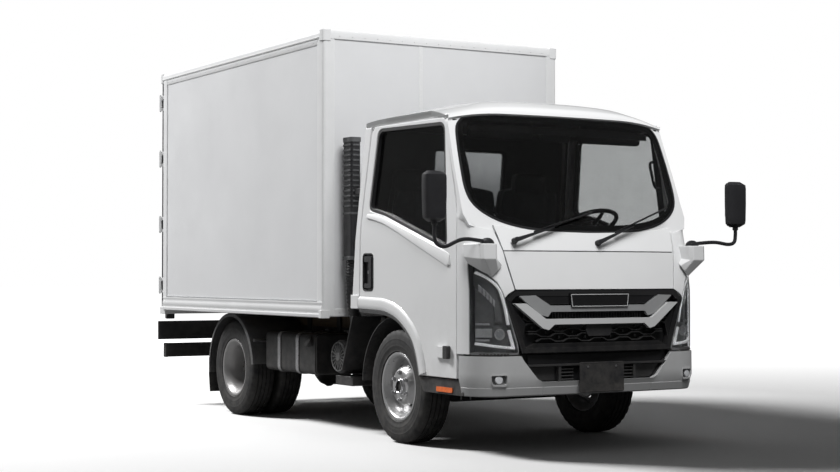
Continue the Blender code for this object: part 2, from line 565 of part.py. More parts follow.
for name, side in sides():
    steer = cylinder("z", 0.026, 0.268, 0.452, side * KINGPIN_X, 0.0, 12)
    upright = block(*sorted((side * 0.580, side * 0.640)), -0.045, 0.045, 0.4020, 0.450)
    lower = block(*sorted((side * 0.580, side * 0.640)), -0.045, 0.045, 0.270, 0.3150)
    web = block(*sorted((side * 0.612, side * 0.648)), -0.045, 0.045, 0.270, 0.450)
    plate = cylinder("x", 0.125, *sorted((side * 0.6475, side * 0.660)), 0.0, TYRE_R, 16)
    spindle = cylinder("x", 0.030, *sorted((side * 0.655, side * 0.6795)), 0.0, TYRE_R, 12)
    track_arm = block(*sorted((side * 0.600, side * 0.635)), 0.04, 0.150, 0.272, 0.300)
    node("knuckle_" + name, join(web, upright, lower, steer, plate, spindle, track_arm), "steel",
         (side * KINGPIN_X, 0.0, TYRE_R))
    centre = (side * FRONT_WHEEL_X, 0.0, TYRE_R)
    node("front_rim_" + name, lathe("x", FRONT_RIM, centre, sign=side, phase=pi / TURN_STEPS), "wheel_silver", centre)
    node("front_tyre_" + name, lathe("x", TYRE, centre, sign=side), "rubber", centre)
    centre = (side * (DUAL_INNER_X + DUAL_OUTER_X) / 2, WHEELBASE, TYRE_R)
    node("rear_rim_" + name, lathe("x", DUAL_RIM, centre, sign=side), "wheel_silver", centre)
    for place_name, x in (("inner", DUAL_INNER_X), ("outer", DUAL_OUTER_X)):
        centre = (side * x, WHEELBASE, TYRE_R)
        node("rear_tyre_%s_%s" % (name, place_name), lathe("x", TYRE, centre, sign=side), "rubber", centre)
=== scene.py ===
"""Looks of a cab-over delivery truck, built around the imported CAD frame. Metres, +Z up, the truck faces -Y.

Lengths along y in this file are written from the front axle, as on a truck drawing; make() shifts them
to the frame. The vehicle's right side is -X.
"""

import json
from itertools import product
from math import acos, asin, cos, pi, radians, sin, sqrt, tan

import bmesh
import bpy
from mathutils import Matrix, Vector, geometry

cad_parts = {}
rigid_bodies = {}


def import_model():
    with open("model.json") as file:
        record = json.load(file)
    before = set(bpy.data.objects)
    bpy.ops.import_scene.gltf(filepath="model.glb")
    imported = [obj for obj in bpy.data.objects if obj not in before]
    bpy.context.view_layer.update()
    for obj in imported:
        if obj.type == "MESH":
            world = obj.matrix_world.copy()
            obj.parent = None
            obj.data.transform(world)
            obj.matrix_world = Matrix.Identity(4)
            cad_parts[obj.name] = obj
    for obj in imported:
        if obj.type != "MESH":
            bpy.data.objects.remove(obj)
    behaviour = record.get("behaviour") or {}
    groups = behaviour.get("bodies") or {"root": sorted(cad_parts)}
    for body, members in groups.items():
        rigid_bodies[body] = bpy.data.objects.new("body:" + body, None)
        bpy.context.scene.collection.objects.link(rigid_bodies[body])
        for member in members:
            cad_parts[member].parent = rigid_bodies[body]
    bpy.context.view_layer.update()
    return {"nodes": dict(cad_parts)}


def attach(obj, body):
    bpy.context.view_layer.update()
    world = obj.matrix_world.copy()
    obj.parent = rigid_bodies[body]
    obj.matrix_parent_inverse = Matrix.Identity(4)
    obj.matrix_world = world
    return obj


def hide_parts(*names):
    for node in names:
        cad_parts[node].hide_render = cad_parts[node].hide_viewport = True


for old in list(bpy.data.objects):
    bpy.data.objects.remove(old, do_unlink=True)
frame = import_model()

AXLE_Y, AXLE_Z = -1.375, 0.36
WHEELBASE = 2.475
RIGHT, LEFT = -1.0, 1.0
SIDES = (("right", RIGHT), ("left", LEFT))


# ---- materials -----------------------------------------------------------------------------------------
class Graph:
    """A material's node tree with short calls for the few nodes used here."""

    def __init__(self, name):
        self.material = bpy.data.materials.new(name)
        self.material.use_nodes = True
        self.tree = self.material.node_tree
        self.shader = self.tree.nodes["Principled BSDF"]
        self.place = self.tree.nodes.new("ShaderNodeTexCoord").outputs["Object"]

    def link(self, a, b):
        self.tree.links.new(a, b)

    def stretched(self, scale):
        node = self.tree.nodes.new("ShaderNodeMapping")
        node.inputs["Scale"].default_value = scale
        self.link(self.place, node.inputs["Vector"])
        return node.outputs["Vector"]

    def noise(self, scale, detail=4.0, rough=0.55, vector=None):
        node = self.tree.nodes.new("ShaderNodeTexNoise")
        node.inputs["Scale"].default_value = scale
        node.inputs["Detail"].default_value = detail
        node.inputs["Roughness"].default_value = rough
        self.link(vector or self.place, node.inputs["Vector"])
        return node.outputs["Fac"]

    def cells(self, scale, vector=None, feature="F1"):
        node = self.tree.nodes.new("ShaderNodeTexVoronoi")
        node.feature = feature
        node.inputs["Scale"].default_value = scale
        self.link(vector or self.place, node.inputs["Vector"])
        return node.outputs["Distance"]

    def bands(self, scale, direction, distortion=0.0):
        node = self.tree.nodes.new("ShaderNodeTexWave")
        node.bands_direction = direction
        node.inputs["Scale"].default_value = scale
        node.inputs["Distortion"].default_value = distortion
        self.link(self.place, node.inputs["Vector"])
        return node.outputs["Fac"]

    def ranged(self, value, low, high, to_low, to_high):
        node = self.tree.nodes.new("ShaderNodeMapRange")
        for key, number in zip(("From Min", "From Max", "To Min", "To Max"), (low, high, to_low, to_high)):
            node.inputs[key].default_value = number
        self.link(value, node.inputs["Value"])
        return node.outputs["Result"]

    def maths(self, how, a, b):
        node = self.tree.nodes.new("ShaderNodeMath")
        node.operation = how
        for socket, value in zip(node.inputs, (a, b)):
            if isinstance(value, (int, float)):
                socket.default_value = value
            else:
                self.link(value, socket)
        return node.outputs[0]

    def mix(self, share, a, b):
        node = self.tree.nodes.new("ShaderNodeMix")
        node.data_type = "RGBA"
        self.link(share, node.inputs[0])
        for socket, value in ((node.inputs[6], a), (node.inputs[7], b)):
            if isinstance(value, tuple):
                socket.default_value = (*value[:3], 1.0)
            else:
                self.link(value, socket)
        return node.outputs[2]

    def bump(self, height, strength, distance):
        node = self.tree.nodes.new("ShaderNodeBump")
        node.inputs["Strength"].default_value = strength
        node.inputs["Distance"].default_value = distance
        self.link(height, node.inputs["Height"])
        self.link(node.outputs["Normal"], self.shader.inputs["Normal"])


def surface(name, colour, rough, metal=0.0, vary=0.06, scale=5.0, rough_vary=0.07, grain=0.0, grain_scale=900.0,
        stretch=None, pebble=False, dust=0.0, wear=0.0, wear_colour=(0.5, 0.5, 0.5), sockets=()):
    """A solid finish: clouded colour and roughness, fine relief, dust low down and wear on its edges."""
    g = Graph(name)
    where = g.stretched(stretch) if stretch else None
    cloud = g.noise(scale, 6.0, 0.6, where)
    dark, light = (tuple(c * (1 + k * vary) for c in colour) for k in (-1, 1))
    tint = g.mix(g.ranged(cloud, 0.3, 0.7, 0, 1), dark, light)
    if dust:
        split = g.tree.nodes.new("ShaderNodeSeparateXYZ")
        g.link(g.place, split.inputs[0])
        low = g.ranged(split.outputs["Z"], 0.15, 1.0, dust, 0.0)
        share = g.maths("MULTIPLY", low, g.ranged(g.noise(14.0, 8.0, 0.7), 0.35, 0.7, 0, 1))
        tint = g.mix(share, tint, (0.3, 0.28, 0.25))
    if wear:
        shape = g.tree.nodes.new("ShaderNodeNewGeometry").outputs["Pointiness"]
        edge = g.ranged(shape, 0.54, 0.62, 0, wear)
        tint = g.mix(g.maths("MULTIPLY", edge, g.ranged(g.noise(60.0), 0.45, 0.6, 0, 1)), tint, wear_colour)
    g.link(tint, g.shader.inputs["Base Color"])
    patches = g.noise(scale * 2.3, 5.0, 0.6, where)
    g.link(g.ranged(patches, 0.3, 0.7, max(0.02, rough - rough_vary), rough + rough_vary),
        g.shader.inputs["Roughness"])
    g.shader.inputs["Metallic"].default_value = metal
    for key, value in sockets:
        g.shader.inputs[key].default_value = value
    if grain:
        relief = g.cells(grain_scale, where) if pebble else g.noise(grain_scale, 2.0, 0.5, where)
        g.bump(relief, grain, 0.0006)
    return g.material


def glass(name, colour, rough=0.02, ior=1.5, transmission=1.0):
    """Tinted glass or clear plastic with a faint film of dust."""
    g = Graph(name)
    film = g.ranged(g.noise(7.0, 7.0, 0.7), 0.3, 0.8, 0, 1)
    g.link(g.mix(film, colour, tuple(c * 0.93 for c in colour)), g.shader.inputs["Base Color"])
    g.link(g.ranged(g.noise(16.0, 6.0, 0.7), 0.4, 0.8, rough, rough + 0.05), g.shader.inputs["Roughness"])
    g.shader.inputs["Transmission Weight"].default_value = transmission
    g.shader.inputs["IOR"].default_value = ior
    g.bump(g.noise(3.0, 2.0), 0.02, 0.001)
    return g.material


def cloth(name, colour):
    """A woven seat cover: crossed threads with lighter slubs."""
    g = Graph(name)
    weave = g.maths("MULTIPLY", g.bands(420.0, "X", 1.0), g.bands(420.0, "Z", 1.0))
    worn = g.ranged(g.noise(9.0, 6.0, 0.7), 0.35, 0.7, 0, 1)
    g.link(g.mix(worn, tuple(c * 0.8 for c in colour), tuple(c * 1.3 for c in colour)),
        g.shader.inputs["Base Color"])
    g.link(g.ranged(weave, 0, 1, 0.95, 0.8), g.shader.inputs["Roughness"])
    g.shader.inputs["Sheen Weight"].default_value = 0.35
    g.shader.inputs["Sheen Roughness"].default_value = 0.5
    g.bump(weave, 0.5, 0.0006)
    return g.material


def planks(name, colour):
    """Plywood floor boards: long grain with darker figure."""
    g = Graph(name)
    long = g.stretched((9.0, 0.9, 9.0))
    figure = g.noise(6.0, 10.0, 0.7, long)
    g.link(g.mix(g.ranged(figure, 0.35, 0.65, 0, 1), tuple(c * 0.6 for c in colour), colour),
        g.shader.inputs["Base Color"])
    g.link(g.ranged(figure, 0.3, 0.7, 0.5, 0.75), g.shader.inputs["Roughness"])
    g.bump(figure, 0.3, 0.001)
    return g.material


COAT = (("Coat Weight", 0.7), ("Coat Roughness", 0.06))
PAINT = surface("cab_white_paint", (0.73, 0.735, 0.74), 0.36, vary=0.018, scale=2.5, rough_vary=0.05,
    grain=0.03, grain_scale=260.0, dust=0.22, sockets=COAT)
PANEL = surface("box_panel_gloss", (0.66, 0.665, 0.675), 0.42, vary=0.03, scale=1.6, rough_vary=0.07, grain=0.1,
    grain_scale=520.0, pebble=True, dust=0.16, sockets=(("Coat Weight", 0.25), ("Coat Roughness", 0.2)))
BUMPER = surface("bumper_grey_paint", (0.46, 0.465, 0.47), 0.38, vary=0.03, scale=3.0, grain=0.04,
    grain_scale=300.0, dust=0.2, sockets=COAT)
ALLOY = surface("extruded_aluminium", (0.6, 0.61, 0.62), 0.36, metal=0.75, vary=0.06, scale=9.0, grain=0.12,
    grain_scale=260.0, stretch=(1.0, 1.0, 0.06), dust=0.15, wear=0.3, wear_colour=(0.85, 0.85, 0.86))
# The roof sheet's grey is partly a coating colour and partly painted shade: it is set darker than the walls' panel
# to hold down the light falling on the top.
ROOF_SHEET_SHADED = surface("roof_sheet_coating_and_shade", (0.5, 0.505, 0.51), 0.68, vary=0.05, scale=2.5, grain=0.05, dust=0.3,
    sockets=(("Specular IOR Level", 0.12),))
RAIL_PAINT = surface("rail_white_coating", (0.68, 0.685, 0.69), 0.38, vary=0.03, scale=4.0, grain=0.06,
    dust=0.2, grain_scale=350.0, wear=0.3, wear_colour=(0.8, 0.8, 0.8))
PLASTIC = surface("black_grained_plastic", (0.022, 0.022, 0.024), 0.52, vary=0.15, scale=8.0, grain=0.35,
    grain_scale=1400.0, pebble=True, dust=0.25, wear=0.25, wear_colour=(0.12, 0.12, 0.12))
GREY_PLASTIC = surface("grey_moulded_plastic", (0.085, 0.087, 0.09), 0.55, vary=0.12, scale=7.0, grain=0.3,
    grain_scale=1100.0, pebble=True, dust=0.35, wear=0.2, wear_colour=(0.25, 0.25, 0.25))
GLOSS = surface("piano_black", (0.008, 0.008, 0.009), 0.12, vary=0.2, scale=6.0, rough_vary=0.05, grain=0.02,
    grain_scale=200.0, dust=0.12, sockets=(("Coat Weight", 0.6), ("Coat Roughness", 0.03)))
SATIN = surface("satin_silver", (0.66, 0.665, 0.67), 0.34, metal=0.2, vary=0.05, scale=8.0, grain=0.06,
    grain_scale=700.0, stretch=(0.08, 1.0, 1.0), dust=0.1)
CHASSIS = surface("chassis_black_paint", (0.02, 0.02, 0.021), 0.5, vary=0.2, scale=7.0, grain=0.25,
    grain_scale=240.0, dust=0.18, wear=0.4, wear_colour=(0.16, 0.12, 0.09))
RUBBER = surface("tyre_rubber", (0.015, 0.015, 0.016), 0.7, vary=0.15, scale=10.0, grain=0.35,
    grain_scale=800.0, dust=0.16, wear=0.2, wear_colour=(0.1, 0.1, 0.1))
SEAL = surface("seal_rubber", (0.018, 0.018, 0.019), 0.6, vary=0.15, scale=14.0, grain=0.25, grain_scale=900.0,
    dust=0.15)
DISC = surface("polished_wheel_steel", (0.5, 0.5, 0.505), 0.36, metal=0.65, vary=0.06, scale=12.0,
    rough_vary=0.1, grain=0.06, grain_scale=300.0, dust=0.12, wear=0.2, wear_colour=(0.8, 0.8, 0.8))
RIM = surface("wheel_grey_paint", (0.36, 0.355, 0.355), 0.42, metal=0.4, vary=0.08, scale=9.0, grain=0.1,
    grain_scale=400.0, dust=0.2, wear=0.3, wear_colour=(0.6, 0.6, 0.6))
CHROME = surface("chrome", (0.78, 0.78, 0.8), 0.12, metal=1.0, vary=0.04, scale=20.0, rough_vary=0.06,
    grain=0.03, dust=0.1)
STEEL = surface("zinc_steel", (0.42, 0.42, 0.43), 0.36, metal=0.9, vary=0.12, scale=18.0, rough_vary=0.12,
    grain=0.15, grain_scale=500.0, dust=0.2, wear=0.3, wear_colour=(0.7, 0.7, 0.7))
DIM_SATIN = surface("dim_satin_silver", (0.36, 0.365, 0.37), 0.34, metal=0.25, vary=0.05, scale=8.0, grain=0.06,
    grain_scale=700.0, dust=0.1)
NET = surface("grille_net_satin", (0.03, 0.03, 0.031), 0.34, vary=0.15, scale=9.0, grain=0.1, grain_scale=700.0,
    dust=0.1)
CAST = surface("cast_alloy_rough", (0.36, 0.36, 0.37), 0.5, metal=0.8, vary=0.15, scale=14.0, grain=0.5,
    grain_scale=600.0, dust=0.5)
TRIM = surface("cabin_dark_trim", (0.016, 0.016, 0.017), 0.7, vary=0.15, scale=6.0, grain=0.4,
    grain_scale=900.0, pebble=True)
GREY_TRIM = surface("cabin_grey_trim", (0.07, 0.07, 0.072), 0.7, vary=0.1, scale=6.0, grain=0.4,
    grain_scale=900.0, pebble=True)
LAMP_BACK = surface("lamp_dark_bezel", (0.21, 0.212, 0.215), 0.38, metal=0.1, vary=0.12, scale=14.0, grain=0.1,
    grain_scale=500.0)
REFLECTOR = surface("lamp_reflector", (0.72, 0.72, 0.73), 0.2, metal=0.25, vary=0.06, scale=40.0, grain=0.7,
    grain_scale=160.0, pebble=True)
GUIDE = surface("light_guide_white", (0.93, 0.93, 0.94), 0.25, vary=0.02, scale=30.0, grain=0.15,
    grain_scale=300.0, sockets=(("Emission Color", (1, 1, 1, 1)), ("Emission Strength", 0.25)))
AMBER = surface("amber_lens", (0.8, 0.16, 0.03), 0.18, vary=0.15, scale=60.0, grain=0.5, grain_scale=220.0,
    pebble=True)
RED = surface("red_lens", (0.45, 0.012, 0.01), 0.16, vary=0.15, scale=60.0, grain=0.5, grain_scale=220.0,
    pebble=True)
CLEAR_LENS = surface("clear_lens", (0.62, 0.63, 0.65), 0.12, vary=0.1, scale=60.0, grain=0.5, grain_scale=220.0,
    pebble=True)
MIRROR = surface("mirror_glass", (0.82, 0.83, 0.85), 0.03, metal=1.0, vary=0.02, rough_vary=0.015, grain=0.01,
    scale=9.0)
TINT = glass("tinted_glass", (0.64, 0.65, 0.65))
SMOKED = glass("smoked_lens", (0.86, 0.87, 0.88), 0.01, 1.45)
FABRIC = cloth("seat_weave", (0.045, 0.047, 0.052))
BOLSTER = surface("seat_bolster_leather", (0.02, 0.02, 0.022), 0.55, vary=0.15, scale=20.0, grain=0.6,
    grain_scale=500.0, pebble=True)
WOOD = planks("floor_plywood", (0.15, 0.105, 0.065))


# ---- shapes --------------------------------------------------------------------------------------------
class Shape:
    """Vertices and faces gathered from simple solids, in front-axle coordinates."""

    def __init__(self):
        self.verts, self.faces = [], []

    def add(self, verts, faces):
        base = len(self.verts)
        self.verts += [tuple(v) for v in verts]
        self.faces += [[base + i for i in f] for f in faces]
        return self

    def prism(self, axis, outline, low, high):
        order = {"x": lambda u, v, w: (w, u, v), "y": lambda u, v, w: (u, w, v), "z": lambda u, v,
            w: (u, v, w)}[axis]
        n = len(outline)
        verts = [order(p[0], p[1], w) for w in (low, high) for p in outline]
        walls = [[i, (i + 1) % n, n + (i + 1) % n, n + i] for i in range(n)]
        return self.add(verts, [list(range(n))[::-1], list(range(n, 2 * n))] + walls)

    def box(self, x0, x1, y0, y1, z0, z1):
        x0, x1 = min(x0, x1), max(x0, x1)
        return self.prism("z", [(x0, y0), (x1, y0), (x1, y1), (x0, y1)], z0, z1)

    def lathe(self, profile, centre, steps=48, axis=(1, 0, 0), closed=False, turn=None):
        """A profile of (along, radius) turned about an axis; turn(angle, along, radius) may change each point."""
        a = Vector(axis).normalized()
        side = a.orthogonal().normalized() if abs(a.x) < 0.9 else Vector((0, 1, 0))
        side = (side - side.dot(a) * a).normalized()
        other = a.cross(side)
        c, verts, rings = Vector(centre), [], []
        for along, radius in profile:
            if radius < 1e-7:
                rings.append([len(verts)] * steps)
                verts.append(c + a * along)
                continue
            rings.append(list(range(len(verts), len(verts) + steps)))
            for k in range(steps):
                t = 2 * pi * k / steps
                u, r = turn(t, along, radius) if turn else (along, radius)
                verts.append(c + a * u + (side * cos(t) + other * sin(t)) * r)
        faces = []
        pairs = list(zip(rings, rings[1:])) + ([(rings[-1], rings[0])] if closed else [])
        for p, q in pairs:
            for k in range(steps):
                m = (k + 1) % steps
                quad = [p[k], p[m], q[m], q[k]]
                quad = [v for j, v in enumerate(quad) if v not in quad[:j]]
                if len(quad) > 2:
                    faces.append(quad)
        return self.add(verts, faces)

    def tube(self, points, radius, steps=12, smooth=6, closed=False):
        """A round bar along a smoothed path; radius may be a function of the share of its length."""
        path = spline(points, smooth, closed) if smooth > 1 and len(points) > 2 else [Vector(p) for p in points]
        n, verts, side = len(path), [], None
        for i, p in enumerate(path):
            a = path[i - 1] if i or closed else p
            b = path[(i + 1) % n] if i < n - 1 or closed else p
            ahead = (b - a).normalized()
            side = ahead.orthogonal().normalized() if side is None else (side - side.dot(ahead) * ahead).normalized()
            other = ahead.cross(side)
            r = radius(i / (n - 1)) if callable(radius) else radius
            verts += [p + r * (cos(2 * pi * k / steps) * side + sin(2 * pi * k / steps) * other)
                for k in range(steps)]
        faces = []
        if not closed:
            faces += [list(range(steps))[::-1], list(range((n - 1) * steps, n * steps))]
        for i in range(n if closed else n - 1):
            j = (i + 1) % n
            faces += [[i * steps + k, i * steps + (k + 1) % steps, j * steps + (k + 1) % steps, j * steps + k]
                for k in range(steps)]
        return self.add(verts, faces)

    def skin(self, outer, inner):
        """A solid between two grids of points."""
        rows, cols = len(outer), len(outer[0])
        half = rows * cols
        faces = []
        for i in range(rows - 1):
            for j in range(cols - 1):
                quad = [i * cols + j, i * cols + j + 1, (i + 1) * cols + j + 1, (i + 1) * cols + j]
                faces += [quad, [half + v for v in quad[::-1]]]
        edge = list(range(cols)) + [i * cols + cols - 1 for i in range(1, rows)]
        edge += [(rows - 1) * cols + j for j in range(cols - 2, -1, -1)] + [i * cols
            for i in range(rows - 2, 0, -1)]
        faces += [[b, a, half + a, half + b] for a, b in zip(edge, edge[1:] + edge[:1])]
        return self.add([p for grid in (outer, inner) for row in grid for p in row], faces)

    def plate(self, outline, low, high, onto, step=0.06, holes=()):
        """A flat outline with holes, given thickness from low to high and laid onto a curved surface."""
        loops = [dense(loop, step) for loop in (outline, *holes)]
        points = [p for loop in loops for p in loop]
        edges, start = [], 0
        for loop in loops:
            edges += [(start + i, start + (i + 1) % len(loop)) for i in range(len(loop))]
            start += len(loop)
        us, vs = [p[0] for p in loops[0]], [p[1] for p in loops[0]]
        for i in range(1, int((max(us) - min(us)) / step) + 1):
            for j in range(1, int((max(vs) - min(vs)) / step) + 1):
                p = (min(us) + i * step, min(vs) + j * step)
                if inside(p, loops[0]) and not any(inside(p, h) for h in loops[1:]) and \
                        all(gap(p, points[a], points[b]) > 0.35 * step for a, b in edges):
                    points.append(p)
        flat, _, tris = geometry.delaunay_2d_cdt([Vector(p) for p in points], edges, [], 0, 1e-7)[:3]
        kept = []
        for t in tris:
            m = tuple(sum(flat[i][k] for i in t) / 3 for k in (0, 1))
            if inside(m, loops[0]) and not any(inside(m, h) for h in loops[1:]):
                kept.append(list(t))
        n = len(flat)
        faces = kept + [[n + i for i in t[::-1]] for t in kept]
        once = {(t[i], t[(i + 1) % 3]) for t in kept for i in range(3)}
        faces += [[b, a, n + a, n + b] for a, b in once if (b, a) not in once]
        verts = [onto(p[0], p[1], t) for t in (high, low) for p in flat]
        return self.add(verts, faces)

    def ribbon(self, path, profile, onto, closed=False):
        """A profile of (sideways, outwards) swept along a path on a surface; profile may depend on the share."""
        path, coarse = [], [Vector(p) for p in path]
        for i, p in enumerate(coarse if closed else coarse[:-1]):
            q = coarse[(i + 1) % len(coarse)]
            cuts = max(1, int((q - p).length / 0.05 + 0.5))
            path += [p.lerp(q, k / cuts) for k in range(cuts)]
        path += [] if closed else [coarse[-1]]
        n, rings = len(path), []
        for i, p in enumerate(path):
            a = path[i - 1] if i or closed else p
            b = path[(i + 1) % n] if i < n - 1 or closed else p
            d = (b - a).normalized()
            form = profile(i / (n - 1)) if callable(profile) else profile
            rings.append([onto(p.x - d.y * o, p.y + d.x * o, t) for o, t in form])
        m = len(rings[0])
        faces = [] if closed else [list(range(m)), list(range((n - 1) * m, n * m))[::-1]]
        for i in range(n if closed else n - 1):
            j = (i + 1) % n
            faces += [[i * m + k, j * m + k, j * m + (k + 1) % m, i * m + (k + 1) % m] for k in range(m)]
        return self.add([p for ring in rings for p in ring], faces)

    def moved(self, change):
        """The same shape with every vertex changed."""
        made = Shape()
        return made.add([change(Vector(v)) for v in self.verts], self.faces)


def spline(points, steps, closed=False):
    """A smooth curve through points."""
    p = [Vector(q) for q in points]
    n, out = len(p), []
    for i in range(n if closed else n - 1):
        a = p[i - 1] if i or closed else 2 * p[0] - p[1]
        b, c = p[i], p[(i + 1) % n]
        d = p[(i + 2) % n] if i < n - 2 or closed else 2 * p[-1] - p[-2]
        for k in range(steps):
            t = k / steps
            out.append(0.5 * (2 * b + (c - a) * t + (2 * a - 5 * b + 4 * c - d) * t * t
                + (3 * b - a - 3 * c + d) * t ** 3))
    return out if closed else out + [p[-1]]


def dense(loop, step):
    """The closed loop with its long edges divided."""
    out = []
    for i, p in enumerate(loop):
        a, b = Vector(p[:2]), Vector(loop[(i + 1) % len(loop)][:2])
        n = max(1, int((b - a).length / step + 0.5))
        out += [tuple(a.lerp(b, k / n)) for k in range(n)]
    return out


def inside(p, loop):
    hit = False
    for i in range(len(loop)):
        (x0, y0), (x1, y1) = loop[i - 1], loop[i]
        if (y0 > p[1]) != (y1 > p[1]) and p[0] < (x1 - x0) * (p[1] - y0) / (y1 - y0) + x0:
            hit = not hit
    return hit


def gap(p, a, b):
    """The distance from a point to a segment."""
    p, a, b = Vector(p), Vector(a), Vector(b)
    d = b - a
    t = min(1.0, max(0.0, (p - a).dot(d) / max(d.length_squared, 1e-12)))
    return (p - a - d * t).length


def rounded(points, radius, steps=6):
    """The outline with its corners rounded; radius may be a list, one for each corner."""
    out = []
    for i, q in enumerate(points):
        r = radius[i] if isinstance(radius, (list, tuple)) else radius
        p, a, b = Vector(q), Vector(points[i - 1]), Vector(points[(i + 1) % len(points)])
        da, db = a - p, b - p
        if r <= 0:
            out.append(tuple(p))
            continue
        half = max(0.05, acos(max(-1, min(1, da.normalized().dot(db.normalized())))) / 2)
        cut = min(r / tan(half), 0.48 * da.length, 0.48 * db.length)
        start, end = p + da.normalized() * cut, p + db.normalized() * cut
        for k in range(steps + 1):
            t = k / steps
            out.append(tuple((1 - t) ** 2 * start + 2 * t * (1 - t) * p + t * t * end))
    return out


def grown(outline, by):
    """The outline moved outwards by a distance."""
    n = len(outline)
    area = sum(outline[i - 1][0] * outline[i][1] - outline[i][0] * outline[i - 1][1] for i in range(n))
    turn, out = (1.0 if area > 0 else -1.0), []
    for i in range(n):
        a, b, c = (Vector(outline[(i + k) % n]) for k in (-1, 0, 1))
        d, e = (b - a).normalized(), (c - b).normalized()
        m = Vector((d.y + e.y, -d.x - e.x)) * turn
        out.append(tuple(b + m * (by / max(0.3, m.dot(Vector((e.y, -e.x)) * turn)))))
    return out


def mirrored(half):
    """A closed outline from its half with x from 0 up and back."""
    return list(half) + [(-x, z) for x, z in half[::-1] if x > 1e-6]


def make(shape, name, material, body, replaces=(), bevel=0.0, segments=2, smooth=0, angle=38.0):
    """Turns a shape into a named piece that rides on a body."""
    mesh = bpy.data.meshes.new(name)
    mesh.from_pydata([(x, y + AXLE_Y, z) for x, y, z in shape.verts], [], shape.faces)
    bm = bmesh.new()
    bm.from_mesh(mesh)
    bmesh.ops.remove_doubles(bm, verts=bm.verts, dist=1e-6)
    bmesh.ops.recalc_face_normals(bm, faces=bm.faces)
    bm.to_mesh(mesh)
    bm.free()
    mesh.shade_smooth()
    obj = bpy.data.objects.new(name, mesh)
    bpy.context.scene.collection.objects.link(obj)
    mesh.materials.append(material)
    if bevel:
        edge = obj.modifiers.new("rounded_edges", "BEVEL")
        edge.width, edge.segments, edge.limit_method = bevel, segments, "ANGLE"
        edge.angle_limit, edge.harden_normals = radians(angle), True
    else:
        mesh.set_sharp_from_angle(angle=radians(angle))
    if smooth:
        soft = obj.modifiers.new("smooth", "SUBSURF")
        soft.levels = soft.render_levels = smooth
    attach(obj, body)
    if replaces:
        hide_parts(*replaces)
    return obj


def both(build):
    """Runs a builder for the right and the left side."""
    for name, side in SIDES:
        build(name, side)


def repaint(material, *nodes):
    """Gives CAD nodes whose shape stays a full material, with crisp edges."""
    for node in nodes:
        obj = frame["nodes"][node]
        obj.data.materials.clear()
        obj.data.materials.append(material)


# ---- the truck's surfaces ------------------------------------------------------------------------------
CAB_HALF_W, CAB_BEND_Z, CAB_LEAN, NOSE_FLAT = 0.8475, 1.3, 0.0487, 0.64


def nose_y(z):
    table = [(0.3, -1.015), (0.6, -1.045), (0.977, -1.04), (1.21, -0.985), (1.33, -0.93), (1.45, -0.872)]
    for (z0, y0), (z1, y1) in zip(table, table[1:]):
        if z <= z1:
            return y0 + (y1 - y0) * (z - z0) / (z1 - z0)
    return table[-1][1]


def nose(s, z, out=0.0):
    """A point of the cab's front: s runs over the flat middle from -1 to 1 and round the corners to -2 and 2."""
    side, a, y_mid = (-1.0 if s < 0 else 1.0), abs(s), nose_y(z) - out
    if a <= 1.0:
        return (side * NOSE_FLAT * a, y_mid + 0.025 * a * a, z)
    turn, y_edge = (a - 1.0) * pi / 2, y_mid + 0.025
    return (side * (NOSE_FLAT + (CAB_HALF_W - NOSE_FLAT + out) * sin(turn)), y_edge
        + (-0.7725 - y_edge) * (1 - cos(turn)), z)


def crown(s):
    """The height of the corner panel's top edge at a nose station."""
    return 1.33 + 0.09 * max(0.0, s - 1.0) ** 1.6


def along(x):
    """The nose station of a half width."""
    a = abs(x)
    s = a / NOSE_FLAT if a <= NOSE_FLAT else 1 + asin(min(1.0,
        (a - NOSE_FLAT) / (CAB_HALF_W - NOSE_FLAT))) * 2 / pi
    return -s if x < 0 else s


def face(x, z, out=0.0):
    """A point of the cab's front by half width and height."""
    return nose(along(x), z, out)


def front(side):
    """The cab's front surface for outlines written for the left side."""
    return lambda x, z, out: face(side * x, z, out)


def flank(side):
    """The cab's side surface: y, height, distance outwards."""
    return lambda y, z, out: (side * (CAB_HALF_W - max(0.0, z - CAB_BEND_Z) * CAB_LEAN + out), y, z)


def screen(u, v, out=0.0):
    """The windscreen's surface: u across from -1 to 1, v up from 0 to 1."""
    low = Vector((0.775 * u, -0.925 + 0.082 * u * u, 1.335 + 0.075 * abs(u) ** 3))
    high = Vector((0.735 * u, -0.665 + 0.045 * u * u, 2.034 - 0.02 * u ** 4))
    p = low.lerp(high, v)
    return (p.x, p.y - out, p.z + 0.25 * out)


def upright(axis, at, sign=1.0):
    """A flat surface square to x or y at a place, with out along sign."""
    if axis == "x":
        return lambda u, v, t: (at + sign * t, u, v)
    if axis == "y":
        return lambda u, v, t: (u, at + sign * t, v)
    return lambda u, v, t: (u, v, at + sign * t)


